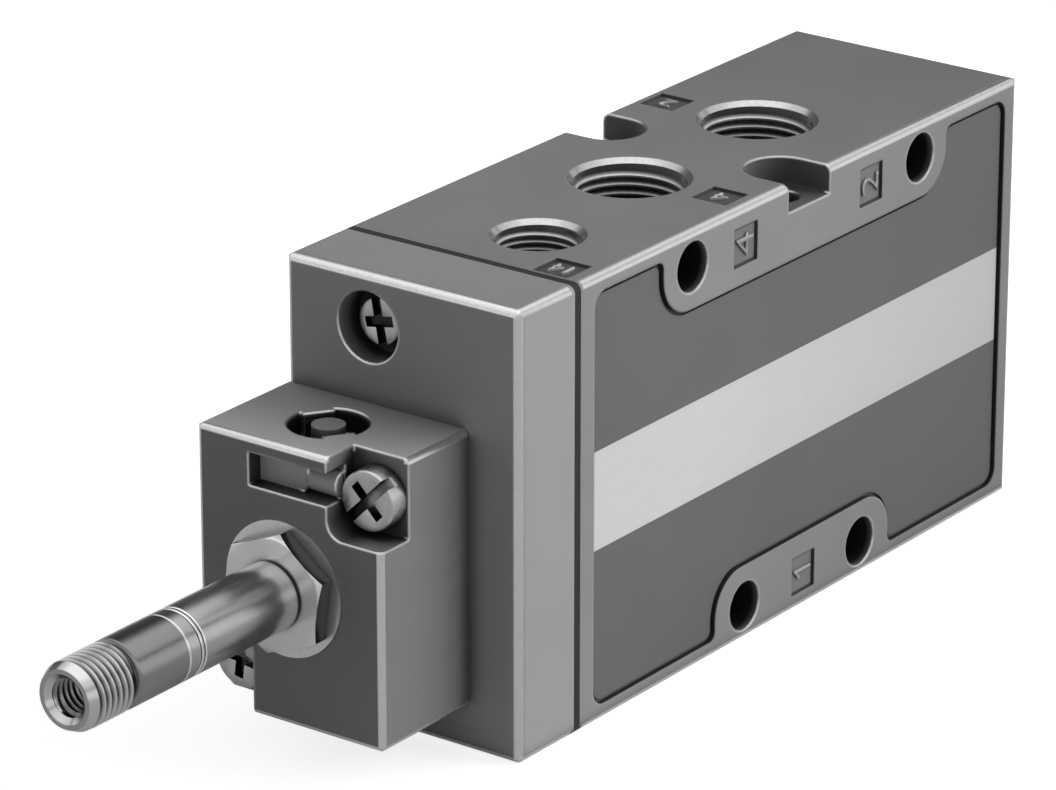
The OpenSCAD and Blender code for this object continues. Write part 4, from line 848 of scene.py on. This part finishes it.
# Spool and end plug. Aluminium bar, turned and clear anodised, which leaves it pale and slightly milky,
# with turning marks of 0.35 mm, coarser than the real ones, so that they show. The spool runs in the
# cages' seals, and a retaining ring holds the plug in the body's far end.
anodised, tree, shader, place = new_finish("clear anodised aluminium", 1.0, 0.36)
marks = add(tree, "TexWave", {"Vector": place, "Scale": 900.0, "Distortion": 1.0, "Detail": 2.0},
            wave_type="BANDS", bands_direction="X").outputs["Fac"]
tree.links.new(blend_tones(tree, marks, "#a6a6a6", "#bbbbbb"), shader.inputs["Base Color"])
dent(tree, shader, marks, 0.005 * MM, 0.4)
dress(anodised, "spool", "end_plug")
dress(rubber, "plug_o_ring", "piston_seal", *(f"spool_seal_{i}" for i in range(1, 7)))

# Spacer cages, front spacer and rear bushing. Moulded in natural acetal and stacked in the body's bore
# between the seals. They are cream and slightly waxy, with flow marks of about 3 mm.
acetal = grained("moulded natural acetal", 0.0, 0.45, 300.0, "#cfcabb", "#dedacd", 0.01, 0.3, 2.0)
dress(acetal, "front_spacer", "rear_bushing", *(f"cage_{i}" for i in range(1, 6)))

# Table and studio. A matt paper table, a white room and two soft lamps: the main one low on the
# labelled side, towards the spring end, which leaves the coil end in half shade, as in the
# photograph. The table and the room look plain white to the camera, and light the object softly.
def seen_ray(tree):
    """1 for what the camera sees directly or in a reflection, 0 for light that falls on the object."""
    path = add(tree, "LightPath")
    seen = path.outputs["Is Camera Ray"]
    for kind in ("Is Glossy Ray", "Is Transmission Ray"):
        seen = add(tree, "Math", {0: seen, 1: path.outputs[kind]}, operation="MAXIMUM").outputs[0]
    return seen, path.outputs["Is Camera Ray"]


bpy.ops.object.select_all(action="DESELECT")
bpy.ops.mesh.primitive_plane_add(size=6, location=(0, 0, -0.05 * MM))
table = bpy.context.object
table.name = "table"
bpy.ops.object.transform_apply(location=True, rotation=True, scale=True)
paper, tree, shader, place = new_finish("matt white paper", 0.0, 0.9)
shader.inputs["Base Color"].default_value = linear("#d2d2d2")
shader.inputs["Emission Color"].default_value = (1, 1, 1, 1)
seen, direct = seen_ray(tree)
glow = add(tree, "Mix", {0: direct, 2: 0.05, 3: 0.78}).outputs[0]
tree.links.new(add(tree, "Math", {0: seen, 1: glow}, operation="MULTIPLY").outputs[0],
               shader.inputs["Emission Strength"])
table.data.materials.append(paper)

room = bpy.data.worlds.new("white room")
room.use_nodes = True
tree = room.node_tree
backdrop = tree.nodes["Background"]
seen, direct = seen_ray(tree)
outlook = add(tree, "SeparateXYZ", {0: add(tree, "TexCoord").outputs["Generated"]})
upwards = outlook.outputs["Z"]
behind = add(tree, "Math", {0: outlook.outputs["X"], 1: outlook.outputs["Y"]}, operation="ADD").outputs[0]
wall = add(tree, "MapRange", {"Value": behind, "From Min": 0.85, "From Max": 1.1, "To Min": 0.95,
                              "To Max": 0.12}, interpolation_type="SMOOTHSTEP").outputs[0]
shelf = add(tree, "Math", {0: upwards, 1: 0.45}, operation="SUBTRACT").outputs[0]
shelf = add(tree, "MapRange", {"Value": add(tree, "Math", {0: shelf}, operation="ABSOLUTE").outputs[0],
                               "From Min": 0.03, "From Max": 0.08, "To Min": 0.2, "To Max": 1.0}).outputs[0]
skylight = add(tree, "MapRange", {"Value": upwards, "From Min": 0.75, "From Max": 0.9, "To Max": 0.5},
               interpolation_type="SMOOTHSTEP").outputs[0]
around = add(tree, "Math", {0: wall, 1: shelf}, operation="MULTIPLY").outputs[0]
ceiling = add(tree, "Math", {0: around, 1: skylight}, operation="ADD").outputs[0]
reflected = add(tree, "Mix", {0: direct, 2: ceiling, 3: 1.0}).outputs[0]
tree.links.new(add(tree, "Mix", {0: seen, 2: 0.2, 3: reflected}).outputs[0], backdrop.inputs["Strength"])
backdrop.inputs["Color"].default_value = (1, 1, 1, 1)
bpy.context.scene.world = room

for name, way, reach, size, power in (("main lamp", (0.72, -0.66, 0.17), 1.3, 2.0, 45.0),
                                      ("back lamp", (0.1, 0.95, 0.15), 1.2, 1.2, 8.0)):
    lamp = bpy.data.lights.new(name, "AREA")
    lamp.size, lamp.energy = size, power
    holder = bpy.data.objects.new(name, lamp)
    bpy.context.scene.collection.objects.link(holder)
    way = Vector(way).normalized()
    holder.location = Vector((-20 * MM, 0, 25 * MM)) + way * reach
    holder.rotation_euler = way.to_track_quat("Z", "Y").to_euler()
    holder.visible_glossy = False

# Camera. It stands at the photograph's angle and distance, as solved from the edges of the block, and
# its lens takes in the photograph's frame.
turn, rise = math.radians(-53.61), math.radians(21.24)
back = Vector((math.sin(turn) * math.cos(rise), -math.cos(turn) * math.cos(rise), math.sin(rise)))
lens = bpy.data.cameras.new("camera")
lens.sensor_width, lens.lens = 36, 202.86
lens.clip_start, lens.clip_end = 0.05, 20
camera = bpy.data.objects.new("camera", lens)
bpy.context.scene.collection.objects.link(camera)
camera.location = Vector((-32.34 * MM, 0, 32.9 * MM)) + 668.6 * MM * back
camera.rotation_euler = (math.pi / 2 - rise, 0, turn)
bpy.context.scene.camera = camera
bpy.context.scene.view_settings.view_transform = "Standard"
